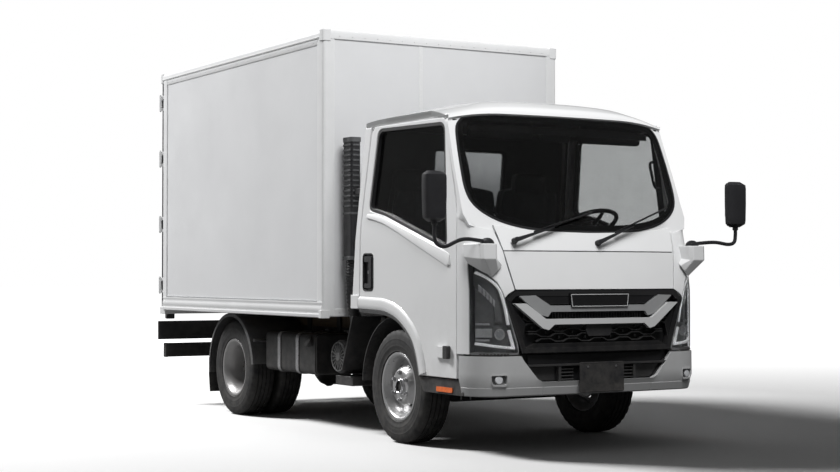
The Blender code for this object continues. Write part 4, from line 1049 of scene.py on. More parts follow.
# ---- van body ------------------------------------------------------------------------------------------
def van_body():
    repaint(PANEL, "box_front_wall", "box_right_wall", "box_left_wall")
    repaint(WOOD, "box_floor")
    front_post = [(0.868, 0.757), (0.88, 0.7545), (0.892, 0.757), (0.904, 0.7545), (0.916, 0.757),
        (0.928, 0.7545), (0.943, 0.757), (0.953, 0.764), (0.957, 0.776), (0.9555, 0.79), (0.958, 0.8),
        (0.9555, 0.811), (0.958, 0.822), (0.9555, 0.834), (0.954, 0.846), (0.9485, 0.846), (0.9485, 0.7605),
        (0.868, 0.7605)]
    rail = [(0.9485, 0.782), (0.954, 0.778), (0.962, 0.782), (0.964, 0.8), (0.9595, 0.806), (0.9595, 0.818),
        (0.963, 0.824), (0.963, 0.85), (0.9595, 0.856), (0.9595, 0.868), (0.963, 0.874), (0.962, 0.884),
        (0.9485, 0.886)]
    top = [(0.915, 2.6605), (0.949, 2.6605), (0.9585, 2.664), (0.962, 2.672), (0.9595, 2.68), (0.961, 2.692),
        (0.957, 2.706), (0.948, 2.718), (0.934, 2.722), (0.915, 2.72)]
    under = [(0.9485, 2.625), (0.953, 2.622), (0.956, 2.63), (0.956, 2.6605), (0.9485, 2.6605)]
    posts, rails, tops, corners = Shape(), Shape(), Shape(), Shape()
    rear_post = [(0.958, 3.56), (0.958, 3.634), (0.943, 3.6515), (0.902, 3.6515), (0.902, 3.62), (0.9185, 3.62),
        (0.9185, 3.56), (0.9485, 3.56)]
    for side in (-1, 1):
        flip = lambda outline, side=side: [(side * p[0], p[1]) for p in outline]
        posts.prism("z", flip(front_post), 0.79, 2.662).prism("z", flip(rear_post), 0.79, 2.662)
        rails.prism("y", flip(rail), 0.765, 3.628).prism("y", flip(under), 0.846, 3.56)
        tops.prism("y", flip(top), 0.8, 3.655)
        for y0, y1 in ((0.751, 0.812), (3.64, 3.694)):
            block = rounded([(0.898, y0), (0.9628, y0), (0.9628, y1), (0.898, y1)], [.004, .022, .022, .004])
            corners.prism("z", flip(block), 2.645, 2.7222)
            block = rounded([(0.905, y0), (0.966, y0), (0.966, y1 - 0.002), (0.905, y1 - 0.002)],
                [.004, .018, .018, .004])
            if y0 < 1:
                corners.prism("z", flip(block), 0.775, 0.83)
    front_top = [(0.754, 2.6605), (0.752, 2.7), (0.758, 2.716), (0.772, 2.722), (0.8, 2.72), (0.8, 2.706),
        (0.765, 2.7), (0.765, 2.6605)]
    tops.prism("x", front_top, -0.9, 0.9)
    tops.prism("x", [(3.652, 2.656), (3.69, 2.656), (3.693, 2.664), (3.69, 2.712), (3.68, 2.722), (3.64, 2.72),
        (3.64, 2.7), (3.652, 2.7)], -0.902, 0.902)
    make(posts, "box_corner_posts", RAIL_PAINT, "chassis", bevel=0.002)
    make(rails, "box_side_rails", RAIL_PAINT, "chassis", bevel=0.0015)
    make(tops, "box_roof_rails", RAIL_PAINT, "chassis", ["box_roof"], bevel=0.002)
    make(corners, "box_corner_castings", RAIL_PAINT, "chassis", bevel=0.006, segments=3)
    ridge = Shape()
    rows = [[(x, y, 2.709 + 0.006 * (1 - (x / 0.915) ** 2)) for x in [-0.915 + 0.1525 * k for k in range(13)]]
        for y in (0.79, 1.5, 2.2, 2.9, 3.645)]
    ridge.skin(rows, [[(x, y, z - 0.004) for x, y, z in row] for row in rows])
    # The roof skin's darker grey is partly painted shade on the top of the box.
    make(ridge, "box_roof_skin", ROOF_SHEET_SHADED, "chassis")
    bows = Shape()
    for k in range(6):
        y = 1.15 + 0.42 * k
        bows.box(-0.914, 0.914, y - 0.02, y + 0.02, 2.668, 2.7)
    make(bows, "box_roof_bows", ALLOY, "chassis", bevel=0.003)
    trims = Shape()
    trims.prism("z", [(-0.206, 0.7625), (-0.203, 0.759), (-0.177, 0.759), (-0.174, 0.7625)], 0.8, 2.658)
    trims.prism("x", [(0.7625, 0.786), (0.757, 0.789), (0.757, 0.836), (0.7625, 0.84)], -0.87, 0.87)
    make(trims, "box_front_trims", RAIL_PAINT, "chassis", bevel=0.001, segments=1)
    bright = Shape()
    for side in (-1, 1):
        bright.prism("y", [(side * x, z) for x, z in ((0.9485, 0.8865), (0.96, 0.8865), (0.9585, 0.8925),
            (0.9485, 0.895))], 0.846, 3.56)
    make(bright, "box_rail_bright_edge", ALLOY, "chassis")
    rivets = Shape()
    for side in (-1, 1):
        for k in range(28):
            rivets.lathe([(0.0, 0.0035), (0.0015, 0.003), (0.0025, 0.0)],
                (side * 0.9592, 0.9 + 0.098 * k, 0.812), 8, (side, 0, 0))
            rivets.lathe([(0.0, 0.0035), (0.0015, 0.003), (0.0025, 0.0)],
                (side * 0.9558, 0.9 + 0.098 * k, 2.642), 8, (side, 0, 0))
    for k in range(18):
        x = -0.83 + 0.0976 * k
        rivets.lathe([(0.0, 0.0035), (0.0015, 0.003), (0.0025, 0.0)], (x, 0.7572, 0.812), 8, (0, -1, 0))
        rivets.lathe([(0.0, 0.0035), (0.0015, 0.003), (0.0025, 0.0)], (x, 0.753, 2.68), 8, (0, -1, 0))
    make(rivets, "box_rivets", ALLOY, "chassis")
    bearers = Shape()
    for k in range(8):
        y = 0.86 + 0.385 * k
        bearers.prism("x", [(y - 0.025, 0.8), (y + 0.025, 0.8), (y + 0.025, 0.806), (y - 0.019, 0.806),
            (y - 0.019, 0.837), (y + 0.025, 0.837), (y + 0.025, 0.843), (y - 0.025, 0.843)], -0.945, 0.945)
    make(bearers, "box_bearers", RAIL_PAINT, "chassis", bevel=0.0015)
    lining = Shape()
    for side in (-1, 1):
        lining.prism("y", [(side * x, z) for x, z in ((0.9195, 0.882), (0.908, 0.882), (0.908, 1.1),
            (0.9195, 1.11))], 0.8, 3.6)
        for z in (1.35, 1.85, 2.35):
            lining.prism("y", [(side * x, z + dz) for x, dz in ((0.9195, -0.03), (0.912, -0.022),
                (0.912, 0.022), (0.9195, 0.03))], 0.82, 3.58)
    make(lining, "box_kick_rails", ALLOY, "chassis", bevel=0.002)


def cargo_doors():
    def leaf(name, side):
        body = "cargo_door_" + name
        xs = sorted((side * 0.002, side * 0.948))
        outline = rounded([(xs[0], 0.803), (xs[1], 0.803), (xs[1], 2.648), (xs[0], 2.648)], 0.006, 2)
        on = upright("y", 3.654)
        make(Shape().plate(outline, 0.0, 0.03, on, 0.6), "cargo_panel_" + name, PANEL, body,
            ["cargo_door_" + name], bevel=0.003)
        inner = [(p[0] + (0.03 if p[0] < sum(xs) / 2 else -0.03), p[1] + (0.03 if p[1] < 1.7 else -0.03))
            for p in outline]
        rim = Shape().plate(outline, 0.0, 0.0335, on, 0.6, [inner])
        make(rim, "cargo_door_frame_" + name, RAIL_PAINT, body, bevel=0.0025)
        gasket = Shape().ribbon(grown(outline, -0.014), [(-0.008, -0.004), (0.006, -0.006), (0.009, 0.0),
            (-0.009, 0.0)], on, closed=True)
        make(gasket, "cargo_door_gasket_" + name, SEAL, body)
        strap, knuckle, pin = Shape(), Shape(), Shape()
        for z in (0.98, 1.48, 2.02, 2.48):
            y = 3.6875
            strap.prism("y", rounded([(side * 0.8, z - 0.03), (side * 0.955, z - 0.036),
                (side * 0.955, z + 0.036), (side * 0.8, z + 0.03)], [.012, .004, .004, .012]), y, y + 0.005)
            strap.prism("z", [(side * 0.948, y), (side * 0.962, 3.683), (side * 0.972, 3.66),
                (side * 0.978, 3.666), (side * 0.97, 3.688), (side * 0.955, y + 0.005)], z - 0.034, z + 0.034)
            for x, dz in ((0.83, 0.014), (0.83, -0.014), (0.885, 0.018), (0.885, -0.018)):
                strap.lathe([(0.004, 0.0065), (0.007, 0.0055), (0.009, 0.0)], (side * x, y, z + dz), 6,
                    (0, 1, 0))
            strap.lathe([(-0.036, 0.0), (-0.036, 0.01), (0.036, 0.01), (0.036, 0.0)], (side * 0.97, 3.67, z),
                20, (0, 0, 1))
            for dz in (-0.05, 0.05):
                knuckle.lathe([(-0.013, 0.0), (-0.013, 0.01), (0.013, 0.01), (0.013, 0.0)],
                    (side * 0.97, 3.67, z + dz), 20, (0, 0, 1))
                knuckle.prism("z", [(side * 0.964, 3.661), (side * 0.96, 3.665), (side * 0.9485, 3.652),
                    (side * 0.947, 3.638), (side * 0.9575, 3.64)], z + dz - 0.012, z + dz + 0.012)
            pin.lathe([(-0.07, 0.0), (-0.069, 0.0055), (0.069, 0.0055), (0.07, 0.0)], (side * 0.97, 3.67, z),
                14, (0, 0, 1))
        make(strap, "cargo_hinge_strap_" + name, RAIL_PAINT, body, bevel=0.0012, segments=1)
        make(knuckle, "cargo_hinge_seat_" + name, RAIL_PAINT, "chassis", bevel=0.0012, segments=1)
        make(pin, "cargo_hinge_pins_" + name, STEEL, "chassis")
        rod_x, rod_y = side * 0.1, 3.703
        rod = Shape().lathe([(0.812, 0.0), (0.812, 0.0125), (0.8135, 0.0135), (2.6365, 0.0135), (2.638, 0.0125),
            (2.638, 0.0)], (rod_x, rod_y, 0), 24, (0, 0, 1))
        for z in (0.818, 2.632):
            rod.prism("z", [(rod_x - 0.0145, rod_y - 0.012), (rod_x + 0.0145, rod_y - 0.012),
                (rod_x + 0.01, rod_y + 0.0145), (rod_x - 0.01, rod_y + 0.0145)], z - 0.012, z + 0.012)
        rod.prism("y", rounded([(rod_x - side * 0.014, 1.288), (rod_x + side * 0.045, 1.298),
            (rod_x + side * 0.225, 1.3), (rod_x + side * 0.235, 1.315), (rod_x + side * 0.225, 1.33),
            (rod_x + side * 0.045, 1.332), (rod_x - side * 0.014, 1.342)], 0.01), rod_y - 0.006, rod_y + 0.006)
        make(rod, "lock_rod_bar_" + name, STEEL, "lock_rod_" + name, ["lock_rod_" + name], bevel=0.002)
        guides = Shape()
        for z in (0.93, 1.22, 1.42, 1.9, 2.5):
            guides.prism("z", [(rod_x - 0.034, 3.6875), (rod_x - 0.034, 3.6915), (rod_x - 0.021, 3.6925),
                (rod_x - 0.0185, 3.715), (rod_x - 0.01, 3.7215), (rod_x + 0.01, 3.7215),
                (rod_x + 0.0185, 3.715), (rod_x + 0.021, 3.6925), (rod_x + 0.034, 3.6915),
                (rod_x + 0.034, 3.6875), (rod_x + 0.0165, 3.6875), (rod_x + 0.015, 3.712),
                (rod_x + 0.008, 3.7175), (rod_x - 0.008, 3.7175), (rod_x - 0.015, 3.712),
                (rod_x - 0.0165, 3.6875)], z - 0.02, z + 0.02)
        hx = rod_x + side * 0.205
        guides.prism("z", [(hx - 0.02, 3.6875), (hx + 0.02, 3.6875), (hx + 0.02, 3.697), (hx - 0.02, 3.697)],
            1.27, 1.299)
        guides.prism("z", [(hx - 0.02, 3.6875), (hx + 0.02, 3.6875), (hx + 0.02, 3.7), (hx - 0.02, 3.7)], 1.334,
            1.352)
        make(guides, "lock_rod_guides_" + name, STEEL, body, bevel=0.001, segments=1)
        cams = Shape()
        for z0, z1 in ((0.77, 0.799), (2.653, 2.69)):
            y0 = 3.652 if z0 < 1 else 3.693
            cams.box(rod_x - 0.03, rod_x + 0.03, y0, 3.7, z0, z1)
        make(cams, "lock_keepers_" + name, STEEL, "chassis", bevel=0.003)

    both(leaf)
    sill = Shape().prism("x", [(3.6, 0.745), (3.7, 0.745), (3.703, 0.752), (3.703, 0.792), (3.698, 0.798),
        (3.653, 0.799), (3.653, 0.842), (3.6, 0.842)], -0.955, 0.955)
    make(sill, "box_rear_sill", RAIL_PAINT, "chassis", bevel=0.002)
    stop = Shape()
    for x in (-0.86, 0.86):
        stop.prism("x", rounded([(3.703, 0.7), (3.745, 0.705), (3.745, 0.79), (3.703, 0.795)], 0.01),
            *sorted((x - 0.035, x + 0.035)))
    make(stop, "dock_buffers", RUBBER, "chassis", bevel=0.004)


# ---- chassis -------------------------------------------------------------------------------------------
def ladder():
    rails = Shape()
    for side in (-1, 1):
        c = [(0.375, 0.52), (0.375, 0.68), (0.3, 0.68), (0.3, 0.672), (0.367, 0.672), (0.367, 0.528),
            (0.3, 0.528), (0.3, 0.52)]
        rails.prism("y", [(side * x, z) for x, z in c], -0.95, 3.762)
    for y in (-0.9, 1.15, 1.9, 3.05, 3.62):
        rails.prism("x", [(y - 0.025, 0.575), (y + 0.025, 0.575), (y + 0.025, 0.581), (y - 0.019, 0.581),
            (y - 0.019, 0.619), (y + 0.025, 0.619), (y + 0.025, 0.625), (y - 0.025, 0.625)], -0.368, 0.368)
    make(rails, "frame_rails", CHASSIS, "chassis", ["ladder_frame"], bevel=0.003)
    bolts = Shape()
    for side in (-1, 1):
        for k in range(46):
            y = -0.86 + 0.1 * k
            for z in ((0.56, 0.64) if k % 2 else (0.6,)):
                bolts.lathe([(0.0, 0.0085), (0.005, 0.008), (0.006, 0.0)], (side * 0.375, y, z), 6,
                    (side, 0, 0))
    make(bolts, "frame_bolts", STEEL, "chassis")
    mounts = Shape()
    for side in (-1, 1):
        for y in (0.95, 1.62, 2.1, 2.88, 3.45):
            mounts.prism("y", [(side * x, z) for x, z in ((0.376, 0.58), (0.384, 0.58), (0.384, 0.77),
                (0.6, 0.79), (0.6, 0.798), (0.376, 0.798))], y - 0.03, y + 0.03)
    make(mounts, "body_mounts", CHASSIS, "chassis", bevel=0.002)
    bar = Shape().prism("x", rounded([(3.757, 0.53), (3.778, 0.53), (3.778, 0.682), (3.757, 0.682)], 0.006),
        -0.945, 0.945)
    for x in (-0.34, 0.34):
        bar.box(x - 0.03, x + 0.03, 3.73, 3.76, 0.39, 0.6)
    make(bar, "lamp_bar", CHASSIS, "chassis", bevel=0.003)
    under = Shape().prism("x", rounded([(3.715, 0.385), (3.768, 0.385), (3.768, 0.5), (3.715, 0.5)], 0.012),
        -0.88, 0.88)
    make(under, "underrun_bar", CHASSIS, "chassis", bevel=0.004)
    ends = Shape()
    for side in (-1, 1):
        ends.prism("x", rounded([(3.713, 0.383), (3.77, 0.383), (3.77, 0.502), (3.713, 0.502)], 0.014),
            *sorted((side * 0.872, side * 0.9)))
    make(ends, "underrun_caps", PLASTIC, "chassis", bevel=0.008, segments=3)
    shells, red, amber, clear = Shape(), Shape(), Shape(), Shape()
    for side in (-1, 1):
        case = rounded([(side * 0.59, 0.548), (side * 0.93, 0.548), (side * 0.93, 0.664), (side * 0.59, 0.664)],
            0.014)
        shells.plate(case, 0.0, 0.02, upright("y", 3.776), 0.3)
        for group, a, b in ((red, 0.6, 0.7), (clear, 0.708, 0.772), (red, 0.78, 0.842), (amber, 0.85, 0.92)):
            lens = rounded([(side * a, 0.558), (side * b, 0.558), (side * b, 0.654), (side * a, 0.654)], 0.008)
            group.plate(lens, 0.0, 0.006, upright("y", 3.7955), 0.3)
    make(shells, "rear_lamp_shells", PLASTIC, "chassis", bevel=0.004)
    make(red, "rear_lamps_red", RED, "chassis", bevel=0.003)
    make(amber, "rear_lamps_amber", AMBER, "chassis", bevel=0.003)
    make(clear, "rear_lamps_clear", CLEAR_LENS, "chassis", bevel=0.003)
    plate = Shape().plate(rounded([(-0.24, 0.56), (0.24, 0.56), (0.24, 0.66), (-0.24, 0.66)], 0.01), 0.0, 0.004,
        upright("y", 3.779), 0.4)
    make(plate, "blank_rear_plate", PLASTIC, "chassis", bevel=0.001)


def running_gear():
    beam = [(-0.572, 0.33), (-0.5, 0.3), (-0.42, 0.25), (0.42, 0.25), (0.5, 0.3), (0.572, 0.33), (0.572, 0.4),
        (0.5, 0.37), (0.4, 0.31), (-0.4, 0.31), (-0.5, 0.37), (-0.572, 0.4)]
    make(Shape().prism("y", beam, -0.045, 0.045), "front_beam", CHASSIS, "chassis",
        ["front_axle"], bevel=0.008, segments=3)
    tube = Shape().lathe([(-0.497, 0.0), (-0.497, 0.056), (-0.2, 0.056), (-0.17, 0.075), (-0.12, 0.08),
        (-0.105, 0.118), (-0.075, 0.15), (-0.045, 0.162), (-0.03, 0.172), (-0.02, 0.172), (-0.012, 0.16),
        (0.095, 0.16), (0.125, 0.125), (0.145, 0.085), (0.2, 0.075), (0.23, 0.056), (0.497, 0.056),
        (0.497, 0.0)], (0, WHEELBASE, AXLE_Z), 40)
    tube.lathe([(0.0, 0.0), (0.0, 0.055), (0.1, 0.062), (0.165, 0.095), (0.175, 0.0)],
        (0.03, WHEELBASE - 0.27, 0.365), 28, (0, 1, 0))
    for k in range(12):
        a = 2 * pi * k / 12
        tube.lathe([(0.0, 0.009), (0.008, 0.008), (0.01, 0.0)], (-0.03, WHEELBASE + 0.165 * cos(a), AXLE_Z
            + 0.165 * sin(a)), 6, (-1, 0, 0))
    make(tube, "rear_axle_housing", CHASSIS, "chassis", ["rear_axle"])

    def springs(name, side):
        x0, x1 = sorted((side * 0.305, side * 0.365))
        mid = side * 0.335
        for key, middle, half, low, eye, plies in (("front", 0.0, 0.56, 0.3115, 0.48, 3),
                ("rear", WHEELBASE, 0.6, 0.4165, 0.49, 4)):
            pack = Shape()
            for i in range(plies):
                reach = half * (1.0 - 0.2 * (plies - 1 - i))
                lift = 0.0125 * i
                rows = []
                for t in (-1, -0.8, -0.6, -0.4, -0.2, 0, 0.2, 0.4, 0.6, 0.8, 1):
                    y, k = middle + reach * t, reach * t / half
                    z = low + (eye - low) * k * k + lift
                    rows.append([(x0, y, z), (x1, y, z)])
                pack.skin([[(a, b, c + 0.0105) for a, b, c in r] for r in rows], rows)
            for end in (-1, 1):
                pack.lathe([(-0.032, 0.0), (-0.032, 0.022), (0.032, 0.022), (0.032, 0.0)],
                    (mid, middle + end * half, eye + 0.0125 * (plies - 1) + 0.012), 20)
            make(pack, "spring_leaves_%s_%s" % (key, name), CHASSIS, "chassis",
                ["leaf_spring_%s_%s" % (key, name)], bevel=0.0015, segments=1)
            clamps = Shape()
            for dy in (-0.055, 0.055):
                pts = [(x0 - 0.006, middle + dy, low - 0.05), (x0 - 0.006, middle + dy, low + 0.055),
                    (mid, middle + dy, low + 0.068), (x1 + 0.006, middle + dy, low + 0.055),
                    (x1 + 0.006, middle + dy, low - 0.05)]
                clamps.tube(pts, 0.006, 10, 1)
            clamps.box(x0 - 0.012, x1 + 0.012, middle - 0.07, middle + 0.07, low - 0.014, low - 0.002)
            eye_z = eye + 0.0125 * (plies - 1) + 0.012
            for end in (-1, 1):
                y = middle + end * half
                for x in (x0 - 0.008, x1 + 0.002):
                    clamps.prism("x", rounded([(y - 0.03, eye_z - 0.028), (y + 0.03, eye_z - 0.028),
                        (y + 0.045, 0.6), (y - 0.045, 0.6)], 0.012), x, x + 0.006)
            make(clamps, "spring_clamps_%s_%s" % (key, name), STEEL, "chassis", bevel=0.0015,
                segments=1)
            tall = Shape()
            top = (mid - side * 0.04, middle + 0.11, 0.66)
            foot = (mid - side * 0.05, middle + 0.06, low + 0.01)
            tall.tube([foot, top], 0.02, 20, 1)
            make(tall, "damper_%s_%s" % (key, name), PLASTIC, "chassis")

    both(springs)
    repaint(CAST, "knuckle_right", "knuckle_left")
    for name, side in SIDES:
        drum = Shape().lathe([(0.0, 0.0), (0.0, 0.118), (0.006, 0.124), (0.012, 0.124), (0.012, 0.0)],
            (side * 0.6478, 0.0, AXLE_Z), 40, (side, 0, 0))
        make(drum, "brake_plate_" + name, CAST, "knuckle_" + name)


def engine():
    block = Shape().box(-0.19, 0.19, -0.42, 0.26, 0.47, 0.72)
    for k in range(5):
        y = -0.36 + 0.14 * k
        block.box(-0.2, 0.2, y - 0.012, y + 0.012, 0.5, 0.7)
    block.box(-0.13, 0.13, -0.4, 0.24, 0.715, 0.765)
    block.box(-0.14, 0.14, 0.06, 0.26, 0.38, 0.475)
    block.prism("y", [(-0.16, 0.46), (0.16, 0.46), (0.13, 0.7), (-0.13, 0.7)], 0.255, 0.62)
    for k in range(4):
        y = 0.32 + 0.08 * k
        block.prism("y", [(-0.168, 0.455), (0.168, 0.455), (0.137, 0.708), (-0.137, 0.708)], y, y + 0.014)
    block.box(-0.09, 0.09, 0.61, 0.9, 0.47, 0.6)
    block.lathe([(-0.02, 0.0), (-0.02, 0.1), (0.02, 0.1), (0.02, 0.0)], (0, -0.44, 0.56), 32, (0, 1, 0))
    block.lathe([(-0.05, 0.0), (-0.05, 0.04), (0.05, 0.04), (0.05, 0.0)], (-0.235, -0.1, 0.55), 24, (0, 0, 1))
    make(block, "engine_castings", CAST, "chassis", ["engine_gearbox"], bevel=0.006, segments=2)
    shaft = Shape().tube([(0, 0.89, 0.52), (0.02, 2.24, 0.385)], 0.034, 24, 1)
    for y, z in ((0.93, 0.517), (2.16, 0.393)):
        shaft.lathe([(-0.03, 0.0), (-0.03, 0.045), (0.03, 0.045), (0.03, 0.0)], (0.005, y, z), 20, (0, 1, 0))
    make(shaft, "propeller_shaft", CHASSIS, "chassis")
    rad = Shape().box(-0.36, 0.36, -0.86, -0.8, 0.44, 0.66).box(-0.38, -0.35, -0.87, -0.79, 0.43, 0.68)
    rad.box(0.35, 0.38, -0.87, -0.79, 0.43, 0.68)
    make(rad, "radiator", PLASTIC, "chassis", bevel=0.006)
    pipe = Shape().tube([(0.22, 0.1, 0.58), (0.27, 0.35, 0.5), (0.46, 0.66, 0.44), (0.56, 0.78, 0.44)], 0.028,
        16, 8)
    pipe.tube([(0.6, 1.1, 0.44), (0.6, 1.16, 0.42), (0.66, 1.185, 0.4), (0.8, 1.19, 0.385)], 0.026, 16, 8)
    make(pipe, "exhaust_pipe", STEEL, "chassis")
    can = Shape().lathe([(0.7, 0.0), (0.7, 0.09), (0.712, 0.105), (1.108, 0.105), (1.12, 0.09), (1.12, 0.0)],
        (0.6, 0.0, 0.44), 40, (0, 1, 0))
    make(can, "exhaust_silencer", STEEL, "chassis", bevel=0.002)


def side_units():
    tank = rounded([(-0.795, 0.366), (-0.392, 0.366), (-0.392, 0.65), (-0.795, 0.65)], [.045, .035, .035, .04],
        8)
    body = Shape().prism("y", tank, 1.185, 1.988)
    body.prism("y", grown(tank, -0.006), 1.173, 2.0)
    make(body, "fuel_tank_shell", CHASSIS, "chassis", ["fuel_tank"], bevel=0.006, segments=3)
    straps = Shape()
    for y in (1.46, 1.756):
        loop = grown(tank, 0.0035)
        straps.ribbon(loop, [(-0.002, -0.022), (0.002, -0.022), (0.002, 0.022), (-0.002, 0.022)], lambda u, v,
            t, y=y: (u, y + t, v), closed=True)
        straps.box(-0.41, -0.372, y - 0.03, y + 0.03, 0.4, 0.665)
    make(straps, "tank_straps", STEEL, "chassis")
    cap = Shape().lathe([(0.0, 0.0), (0.0, 0.03), (0.02, 0.03), (0.024, 0.04), (0.046, 0.04), (0.05, 0.034),
        (0.05, 0.0)], (-0.775, 1.26, 0.585), 32, (-0.9, 0, 0.43))
    make(cap, "tank_cap", PLASTIC, "chassis", bevel=0.002)
    ribs = [(0.0, 0.0), (0.0, 0.098), (0.006, 0.11), (0.014, 0.115)]
    for k in range(11):
        u = 0.026 + 0.021 * k
        ribs += [(u, 0.115), (u + 0.004, 0.109), (u + 0.011, 0.109), (u + 0.015, 0.115)]
    ribs += [(0.278, 0.115), (0.286, 0.108), (0.29, 0.096), (0.29, 0.0)]
    drum = Shape().lathe(ribs, (-0.79, 0.835, 0.511), 56, (1, 0, 0))
    make(drum, "air_cleaner_drum", PLASTIC, "chassis", ["air_cleaner"])
    spokes = Shape()
    for k in range(18):
        a = 2 * pi * k / 18
        c, s = cos(a), sin(a)
        form = [(0.03, -0.0035), (0.092, -0.0035), (0.092, 0.0035), (0.03, 0.0035)]
        ring = [(0.835 + r * c - w * s, 0.511 + r * s + w * c) for r, w in form]
        spokes.prism("x", ring, -0.7975, -0.789)
    spokes.lathe([(0.0, 0.0), (0.0, 0.028), (0.01, 0.03), (0.012, 0.0)], (-0.8005, 0.835, 0.511), 28, (1, 0, 0))
    spokes.lathe([(0.0, 0.092), (0.0, 0.101), (0.012, 0.101), (0.012, 0.092)], (-0.8, 0.835, 0.511), 48,
        (1, 0, 0), closed=True)
    make(spokes, "air_cleaner_cover", GREY_PLASTIC, "chassis", bevel=0.0012, segments=1)
    hoses = Shape().tube([(-0.55, 0.835, 0.6), (-0.55, 0.835, 0.66), (-0.5, 0.8, 0.7), (-0.4, 0.76, 0.7)],
        lambda t: 0.04 + 0.004 * (int(t * 24) % 2), 20, 8)
    make(hoses, "intake_hose", PLASTIC, "chassis")
    bracket = Shape().box(-0.7, -0.376, 0.8, 0.83, 0.608, 0.64).box(-0.66, -0.62, 0.72, 0.95, 0.628, 0.64)
    bracket.box(-0.6, -0.376, 0.7, 0.74, 0.48, 0.5)
    make(bracket, "air_cleaner_bracket", CHASSIS, "chassis", bevel=0.003)
    box = rounded([(0.657, 0.32), (0.904, 0.32), (0.904, 0.383), (0.657, 0.383)], 0.012)
    low = Shape().prism("x", box, -0.78, -0.42)
    low.box(-0.46, -0.43, 0.72, 0.75, 0.37, 0.53).box(-0.46, -0.43, 0.85, 0.88, 0.37, 0.53)
    make(low, "air_reservoir_tray", PLASTIC, "chassis", bevel=0.004)
    battery = rounded([(0.395, 0.385), (0.79, 0.385), (0.79, 0.63), (0.395, 0.63)], 0.02)
    case = Shape().prism("y", battery, 1.23, 1.82)
    lid = Shape().prism("y", rounded([(0.388, 0.56), (0.797, 0.56), (0.797, 0.655), (0.388, 0.655)], 0.024),
        1.222, 1.828)
    make(case, "battery_box", PLASTIC, "chassis", bevel=0.006)
    for k in range(5):
        lid.box(0.42, 0.77, 1.27 + 0.11 * k, 1.3 + 0.11 * k, 0.65, 0.662)
    make(lid, "battery_lid", GREY_PLASTIC, "chassis", bevel=0.006, segments=3)

    def guard(name, side):
        profile = [(0.402, 0.0), (0.402, -0.01), (0.412, -0.004), (0.842, -0.004), (0.858, -0.012),
            (0.868, -0.026), (0.87, -0.024), (0.866, 0.0), (0.846, 0.004), (0.412, 0.004)]
        radius = 0.414
        rings = []
        for k in range(41):
            a = radians(174 - 4.55 * k)
            rings.append([(side * x, WHEELBASE + (radius + t) * cos(a), AXLE_Z + (radius + t) * sin(a)) for x,
                t in profile])
        m = len(profile)
        faces = [list(range(m)), list(range(40 * m, 41 * m))[::-1]]
        faces += [[i * m + k, (i + 1) * m + k, (i + 1) * m + (k + 1) % m, i * m + (k + 1) % m]
            for i in range(40) for k in range(m)]
        make(Shape().add([p for r in rings for p in r], faces), "mudguard_shell_" + name, GREY_PLASTIC,
            "chassis", ["mudguard_" + name])
        stays = Shape()
        for a in (radians(150), radians(40)):
            y, z = WHEELBASE + 0.424 * cos(a), AXLE_Z + 0.424 * sin(a)
            stays.tube([(side * 0.375, y, 0.62), (side * 0.42, y, z + 0.006), (side * 0.84, y, z + 0.006)],
                0.012, 12, 6)
        make(stays, "mudguard_stays_" + name, STEEL, "chassis")
        flap = Shape().prism("y", [(side * 0.42, 0.15), (side * 0.85, 0.15), (side * 0.86, 0.3),
            (side * 0.86, 0.42), (side * 0.42, 0.42)], 2.9, 2.908)
        make(flap, "mud_flap_rear_" + name, RUBBER, "chassis", bevel=0.002)

    both(guard)


def snorkel():
    x0, x1, y0, y1, z0, z1 = -0.835, -0.76, 0.58, 0.7, 1.165, 1.985
    section = rounded([(x0, y0), (x1, y0), (x1, y1), (x0, y1)], 0.02)
    duct = Shape().prism("z", section, z0, z1)
    make(duct, "intake_duct_shell", PLASTIC, "cab", ["intake_duct"], bevel=0.006, segments=3)
    louvres = Shape()
    for k in range(13):
        z = 1.52 + 0.034 * k
        louvres.prism("x", [(y0 + 0.012, z), (y1 - 0.012, z), (y1 - 0.012, z + 0.012), (y0 + 0.012, z + 0.012)],
            x0 - 0.006, x0 + 0.004)
        louvres.prism("y", [(x0 + 0.012, z), (x1 - 0.012, z), (x1 - 0.012, z + 0.012), (x0 + 0.012, z + 0.012)],
            y0 - 0.006, y0 + 0.004)
    louvres.prism("z", grown(section, 0.005), z1 - 0.03, z1 + 0.002).prism("z", grown(section, 0.005), 1.47,
        1.485)
    louvres.prism("z", grown(section, 0.006), 1.165, 1.19)
    make(louvres, "intake_louvres", GREY_PLASTIC, "cab", bevel=0.002)
    bracket = Shape().prism("x", [(0.48, 1.6), (0.4755, 1.64), (0.585, 1.64), (0.585, 1.6)], -0.812, -0.788)
    bracket.prism("x", [(0.488, 1.25), (0.485, 1.29), (0.585, 1.29), (0.585, 1.25)], -0.812, -0.788)
    make(bracket, "intake_bracket", PLASTIC, "cab", bevel=0.003)
    boot = Shape()
    path = [(-0.797, 0.64, 1.165), (-0.797, 0.642, 1.05), (-0.78, 0.66, 0.9), (-0.72, 0.72, 0.75),
        (-0.66, 0.8, 0.64), (-0.66, 0.82, 0.6)]
    boot.tube(path, lambda t: 0.036 + (0.005 if int(t * 60) % 2 else 0.0), 20, 12)
    make(boot, "intake_boot", PLASTIC, "cab")


# ---- wheels --------------------------------------------------------------------------------------------
def table_of(knots):
    """A smooth function through (key, value) knots."""
    def value(r):
        if r <= knots[0][0]:
            return knots[0][1]
        for (a, x), (b, y) in zip(knots, knots[1:]):
            if r <= b:
                t = (r - a) / (b - a)
                return x + (y - x) * t * t * (3 - 2 * t)
        return knots[-1][1]
    return value


def circle(radius, steps, cx=0.0, cy=0.0):
    return [(cx + radius * cos(2 * pi * k / steps), cy + radius * sin(2 * pi * k / steps))
        for k in range(steps)]


def slot_at(radius, angle, long, short):
    """A rounded slot lying round a circle."""
    out = []
    for k in range(20):
        t = 2 * pi * k / 20
        a, r = angle + long * cos(t) / radius, radius + short * sin(t)
        out.append((r * cos(a), r * sin(a)))
    return out


